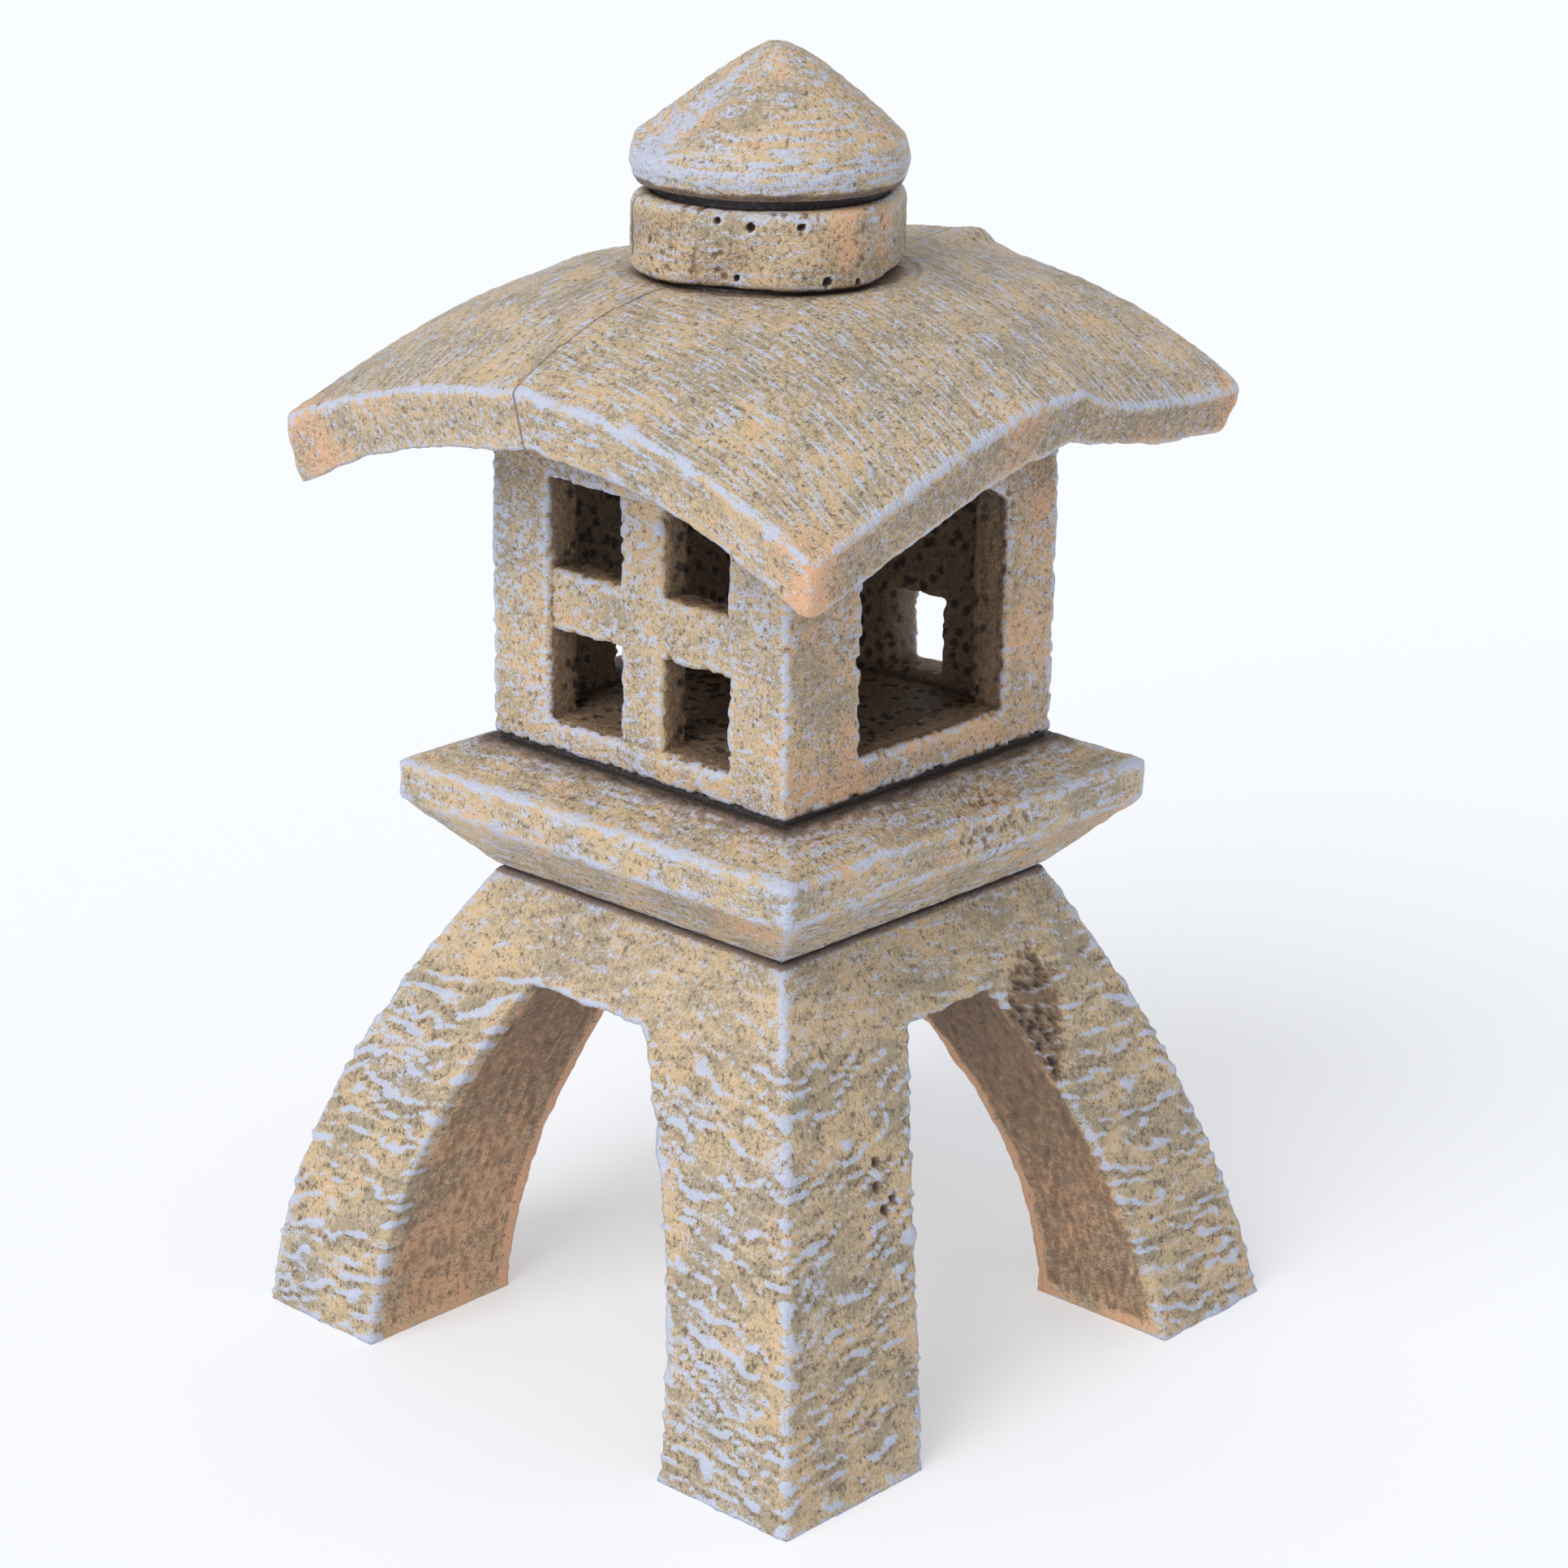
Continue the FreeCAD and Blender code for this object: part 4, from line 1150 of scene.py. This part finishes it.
    def paint(self, skin: Skin, marks: Marks) -> None:
        """Painted shade round the collar's foot, underneath and on the -y fascia, orange at the corners, blue
        along the eaves.
        """
        x, y, z = skin.points.T
        seat = Room.of("collar_bed").centre
        gap = np.hypot(x - seat[0], y - seat[1])
        up = skin.normals()[:, 2]
        foot = ramp(gap + 1.4 * self.swell(skin, 6.0), 33.5, 28.0) * (up > 0.5)
        eave = (np.abs(up) < 0.4) * (y < -60.0) * (x > -66.0)
        # painted shade: a dark ring round the collar's foot, the underside, and the -y fascia
        marks.wash += 0.62 * foot + 0.45 * ramp(up, -0.3, -0.7) + 0.33 * eave
        ahead, aside = turned(x - seat[0], y - seat[1], -self.twist)
        edge = np.maximum(np.abs(ahead), np.abs(aside)) + 1.1 * self.grit.layered(skin.points, 2.8)
        far = ramp(np.hypot(x, y), 94.0, 104.0)
        marks.blush += 0.5 * far + 0.35 * self.patches(skin, 20.0, 0.1, 0.6) * (up < 0.5)
        marks.arris *= 0.5
        marks.frost += 0.34 * ramp(edge, 74.6, 75.8) * (up > 0.1)


@dataclass
class Finial(Stone):
    """What the two finial stones share: a square lattice laid out in rings on a rounded plan."""

    pitch: float = 0.52
    outline: int = 92            # cells across

    def rings(self, layers: Array) -> Skin:
        """A lattice whose squares become rings.

        A point's ring is the larger of its two lattice distances, and its bearing is an eighth of a turn
        times the ratio of the other to it, counted from the nearest axis.

        Args:
            layers: the lattice lines upwards.

        Returns:
            The skin; its points hold the ring share, the bearing in radians and the layer.
        """
        u = np.linspace(-1.0, 1.0, self.outline + 1)
        skin = Skin.of_cells(np.ones((self.outline, self.outline, len(layers) - 1), bool), (u, u, layers))
        along, beside, layer = skin.points.T
        steep = np.abs(beside) > np.abs(along)
        ring = np.maximum(np.abs(along), np.abs(beside))
        ratio = np.where(steep, -along, beside) / np.where(ring > 0.0, np.where(steep, beside, along), 1.0)
        turn = np.where(steep, np.sign(beside) * 0.25, np.where(along < 0.0, 0.5, 0.0)) * tau
        skin.points = np.stack([ring, turn + ratio * tau / 8.0, layer], axis=1)
        return skin

    def around(self, reach: Array, bearing: Array, level: Array) -> Array:
        """Points (n, 3) at those distances and bearings from the stone's own axis."""
        x, y, _ = self.room.centre
        return np.stack([x + reach * np.cos(bearing), y + reach * np.sin(bearing), level], axis=1)

    def bearing(self, skin: Skin) -> Array:
        """Each point's bearing from the stone's axis, in degrees."""
        x, y, _ = (skin.points - self.room.centre).T
        return np.degrees(np.arctan2(y, x))

    def smears(self, skin: Skin, turns: float, rise: float, inwards: float) -> Array:
        """Level strokes round the axis, joined up at the far side: strokes per radian, and two lengths."""
        x, y, z = (skin.points - self.room.centre).T
        return np.stack([np.arctan2(-y, -x) * turns, z / rise, np.hypot(x, y) / inwards], axis=1)


@dataclass
class Collar(Finial):
    """The eight-sided block with rounded arrises."""

    flat: float = 28.2           # from the middle to a long side
    bevel_flat: float = 30.9     # from the middle to a short side
    turn: float = 26.5           # degrees
    rounding: float = 3.2        # radius of the upper and lower arris
    drawn_in: float = 0.75       # the part of the rounding that the outline moves in
    power: float = 15.0          # how sharp the eight corners are
    # air holes: bearing in degrees, level and radius
    holes: tuple[tuple[float, float, float], ...] = (
        (-145.0, 265.0, 1.1), (-124.0, 265.5, 0.9), (-113.0, 253.4, 1.25), (-98.0, 252.6, 0.8),
        (-160.0, 266.0, 0.9), (-151.0, 254.0, 0.7), (-60.0, 258.0, 0.9), (20.0, 262.0, 1.0))
    creases: tuple[float, ...] = (-171.0, -96.0, 30.0, 150.0)    # their bearings

    def reach(self, bearing: Array) -> Array:
        """Distance to the outline: the nearest of the eight sides, with the corners softened.

        The softening adds the sides' closeness to a high power, so that it rounds only the corners.
        """
        total = np.zeros(np.shape(bearing))
        for side in range(8):
            gap = self.flat if side % 2 == 0 else self.bevel_flat
            total += np.maximum(np.cos(bearing - side * tau / 8.0) / gap, 0.0) ** self.power
        return total ** (-1.0 / self.power)

    def shape(self) -> Skin:
        """Rings out to the eight-sided outline, drawn in at the top and bottom by a quarter circle."""
        low, high = self.room.low[2], self.room.high[2]
        skin = self.rings(lines([low, high], self.pitch))
        ring, bearing, level = skin.points.T
        near = np.maximum(self.rounding - np.minimum(level - low, high - level), 0.0)
        drawn = self.rounding - np.sqrt(np.maximum(self.rounding ** 2 - near ** 2, 0.0))
        reach = ring * (self.reach(bearing) - self.drawn_in * drawn)
        skin.points = self.around(reach, bearing + radians(self.turn), level)
        return skin

    def strokes(self, skin: Skin) -> Array:
        """Level smears round the block."""
        return self.smears(skin, 6.0, 1.3, 2.0)

    def damage(self, skin: Skin) -> Array:
        """Air holes and upright creases."""
        pits = ramp(self.grit.cells(skin.points, 2.6), 0.4, 0.15)
        pits *= self.patches(skin, 9.0, -0.2, 0.3)
        skin.raise_by(-0.3 * pits)
        wash = 0.3 * pits
        for bearing, level, radius in self.holes:
            way = np.array([cos(radians(bearing)), sin(radians(bearing)), 0.0])
            reach = self.reach(np.array([radians(bearing - self.turn)]))
            at = self.around(reach, np.array([radians(bearing)]), np.array([level]))[0]
            wash += 1.2 * skin.bore(at, -way, radius, 1.8)
        bearings = self.bearing(skin) + 1.5 * self.swell(skin, 4.0)
        for crease in self.creases:
            broken = self.patches(skin, 7.0, -0.3, 0.3)
            cut = ramp(np.abs(bearings - crease), 2.6, 0.3) * broken
            skin.raise_by(-0.35 * cut)
            wash += 0.4 * cut
        return wash

    def paint(self, skin: Skin, marks: Marks) -> None:
        """Painted shade at the foot and under the cap, darker patches all over, and orange to the right."""
        x, y, z = skin.points.T
        low, centre = self.room.low[2], self.room.centre
        seat = ramp(np.hypot(x - centre[0], y - centre[1]), 27.5, 26.0)
        stain = ramp(np.abs(self.bearing(skin) + 92.0), 26.0, 8.0)
        # painted shade at the foot and on the top under the cap
        marks.wash += 1.1 * ramp(z, low + 1.2, low + 0.2) + 1.2 * seat
        marks.wash += 0.20 + 0.16 * self.patches(skin, 11.0, -0.1, 0.4, 60.0)
        marks.blush += 0.8 * stain * self.patches(skin, 8.0, -0.4, 0.3)
        marks.arris *= 0.4


@dataclass
class Cap(Finial):
    """The blunt cone over a rounded rim, with one narrow planed facet."""

    foot: float = 28.6           # radius at the bottom
    rim: float = 30.6            # largest radius
    rim_height: float = 4.6      # its height above the bottom
    shoulder: float = 10.0       # where the cone begins
    pitch: float = 0.5
    outline: int = 118
    blunt: float = 4.6           # how much the point is rounded
    swelling: float = 1.7        # how far the cone bulges on the side that the lean points to
    lean: float = -47.0          # degrees
    facet: float = 158.0         # bearing of the planed facet

    def shape(self) -> Skin:
        """Rings whose edge layers follow the rim's bulge and whose top rises as a rounded cone.

        The cone's height falls by slope times (root of r^2 + b^2, less b).
        """
        low, high = self.room.low[2], self.room.high[2]
        layers = lines([low, low + self.shoulder], self.pitch)
        skin = self.rings(layers)
        ring, bearing, level = skin.points.T
        rise = level - low
        bulge = np.where(rise < self.rim_height, rise / self.rim_height,
                         (self.shoulder - rise) / (self.shoulder - self.rim_height))
        width = self.foot + (self.rim - self.foot) * np.sqrt(np.clip(bulge, 0.0, 1.0))
        reach = ring * width
        fall = np.sqrt(self.foot ** 2 + self.blunt ** 2) - self.blunt
        slope = (high - low - self.shoulder) / fall
        cone = high - slope * (np.sqrt(reach ** 2 + self.blunt ** 2) - self.blunt)
        swollen = 4.0 * ring * (1.0 - ring) * (0.3 + 0.7 * np.cos(bearing - radians(self.lean)))
        level = np.where(level > layers[-1] - 1e-6, np.minimum(cone + self.swelling * swollen, high), level)
        skin.points = self.around(reach, bearing, level)
        return skin

    def strokes(self, skin: Skin) -> Array:
        """Level smears round the cone."""
        return self.smears(skin, 5.0, 1.2, 3.0)

    def relief(self, skin: Skin) -> Array:
        """Faint level layers."""
        return 0.14 * self.grit.crests(skin.points, np.array([14.0, 14.0, 2.4]))

    def damage(self, skin: Skin) -> Array:
        """The planed facet down the cone towards -x, +y."""
        way = radians(self.facet)
        facing = (0.60 * cos(way), 0.60 * sin(way), 0.80)
        at = self.around(np.array([15.0]), np.array([way]), np.array([288.6]))[0]
        skin.plane_off(at, facing, 40.0)
        return np.zeros(len(skin.points))

    def paint(self, skin: Skin, marks: Marks) -> None:
        """Pale blue on the rim and the facet, painted shade underneath, orange on the cone."""
        rise = skin.points[:, 2] - self.room.low[2]
        facet = ramp(np.abs(self.bearing(skin) - self.facet), 22.0, 10.0)
        rag = self.swell(skin, 5.0)
        marks.frost += 0.16 * ramp(rise + 1.6 * rag, 9.0, 6.0) * ramp(rise, 1.0, 3.0) + 0.30 * facet
        # painted shade under the rim
        marks.wash += 0.8 * ramp(rise + 0.6 * rag, 2.4, 0.6)
        marks.blush += 0.3 * ramp(rag, -0.2, 0.5) * ramp(rise, 8.0, 12.0)
        marks.arris *= 0.5



# ---------------------------------------------------------------- joints

class Joints:
    """The setting compound and the dowels, which stay as the frame's own solids."""

    BEDS = ("chamber_bed", "roof_bed", "collar_bed", "cap_bed")
    WORN = ("platform_bed",)
    DOWELS = ("platform_dowels", "chamber_dowels", "roof_dowels", "collar_dowel", "cap_dowel")

    def dress(self) -> None:
        """Gives every bed the compound, browner under the platform, and every dowel the steel."""
        worn = CompoundFinish("worn_compound", (98, 84, 74), (128, 112, 98))
        for names, finish in ((self.BEDS, CompoundFinish()), (self.WORN, worn), (self.DOWELS, SteelFinish())):
            material = finish.material()
            for name in names:
                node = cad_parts[name]
                node.data.materials.clear()
                node.data.materials.append(material)
                LOG.info("%s: %s", name, material.name)


# ---------------------------------------------------------------- studio

@dataclass
class Studio:
    """White sweep, soft sun from the front left, even fill, and the camera."""

    bearing: float = -47.45      # degrees round from the -y side
    height: float = 19.12        # degrees above level
    roll: float = 0.72           # degrees
    distance: float = 940.49     # from the point aimed at
    lens: float = 93.82
    aside: float = 2.55          # how far right of the axis the camera aims
    aim: float = 130.0           # the level it aims at
    fill: float = 0.62           # strength of the surround
    sun: float = 1.9
    sun_way: tuple[float, float, float] = (-0.84, -0.08, 0.72)
    sun_spread: float = 42.0     # degrees
    floor_half: float = 14.0     # metres
    floor_glow: float = 0.37     # emission that lifts the floor to nearly white

    def place_camera(self) -> None:
        """Looks at the lantern's axis from the bearing and height, a little aside, rolled slightly."""
        a, e, r = radians(self.bearing), radians(self.height), radians(self.roll)
        back = Vector((sin(a) * cos(e), -cos(a) * cos(e), sin(e)))
        right = Vector((cos(a), sin(a), 0.0))
        up = back.cross(right)
        right, up = right * cos(r) + up * sin(r), up * cos(r) - right * sin(r)
        at = (Vector((0.0, 0.0, self.aim)) + right * self.aside + back * self.distance) * METRE
        camera = bpy.data.cameras.new("camera")
        camera.lens = self.lens
        camera.sensor_width = 36.0
        camera.clip_start, camera.clip_end = 0.05, 60.0
        holder = bpy.data.objects.new("camera", camera)
        holder.matrix_world = Matrix((
            (right.x, up.x, back.x, at.x), (right.y, up.y, back.y, at.y), (right.z, up.z, back.z, at.z),
            (0.0, 0.0, 0.0, 1.0)))
        bpy.context.scene.collection.objects.link(holder)
        bpy.context.scene.camera = holder

    def lay_floor(self) -> None:
        """A wide white sheet level with the feet."""
        half = self.floor_half
        mesh = bpy.data.meshes.new("sweep")
        corners = [(-half, -half, 0.0), (half, -half, 0.0), (half, half, 0.0), (-half, half, 0.0)]
        mesh.from_pydata(corners, [], [(0, 1, 2, 3)])
        bench = Bench("white_sweep")
        bench.shader.inputs["Base Color"].default_value = (0.60, 0.62, 0.66, 1.0)
        bench.shader.inputs["Roughness"].default_value = 1.0
        bench.shader.inputs["Specular IOR Level"].default_value = 0.0
        bench.shader.inputs["Emission Color"].default_value = (0.98, 0.99, 1.0, 1.0)
        bench.shader.inputs["Emission Strength"].default_value = self.floor_glow
        mesh.materials.append(bench.material)
        floor = bpy.data.objects.new("sweep", mesh)
        bpy.context.scene.collection.objects.link(floor)

    def light(self) -> None:
        """One broad sun and an even white surround."""
        scene = bpy.context.scene
        world = bpy.data.worlds.new("surround")
        world.use_nodes = True
        backdrop = world.node_tree.nodes["Background"]
        backdrop.inputs["Color"].default_value = (0.97, 0.98, 1.0, 1.0)
        backdrop.inputs["Strength"].default_value = self.fill
        scene.world = world
        lamp = bpy.data.lights.new("key", "SUN")
        lamp.energy = self.sun
        lamp.angle = radians(self.sun_spread)
        lamp.color = (1.0, 0.985, 0.96)
        holder = bpy.data.objects.new("key", lamp)
        holder.rotation_euler = Vector(self.sun_way).to_track_quat("Z", "Y").to_euler()
        scene.collection.objects.link(holder)
        scene.view_settings.view_transform = "Standard"

    def build(self) -> None:
        """Camera, floor and lights."""
        self.place_camera()
        self.lay_floor()
        self.light()


def main() -> None:
    """Builds the studio and then the lantern from the ground up."""
    logging.basicConfig(level=logging.INFO, format="%(name)s %(message)s")
    Studio().build()
    stones = [
        LegBase(Part.LEGS, StoneFinish("base_stone", frosting=0.50, streaks=0.4), 11),
        Platform(Part.PLATFORM, StoneFinish("platform_stone", frosting=0.53), 23),
        FireChamber(Part.CHAMBER, StoneFinish("chamber_stone", frosting=0.53), 37),
        Roof(Part.ROOF, StoneFinish("roof_stone", streaks=0.8), 41),
        Collar(Part.COLLAR, StoneFinish("collar_stone"), 53),
        Cap(Part.CAP, StoneFinish("cap_stone", frosting=0.56, streaks=0.55), 67),
    ]
    for stone in stones:
        stone.build()
    Joints().dress()


if __name__ == "__main__":
    main()
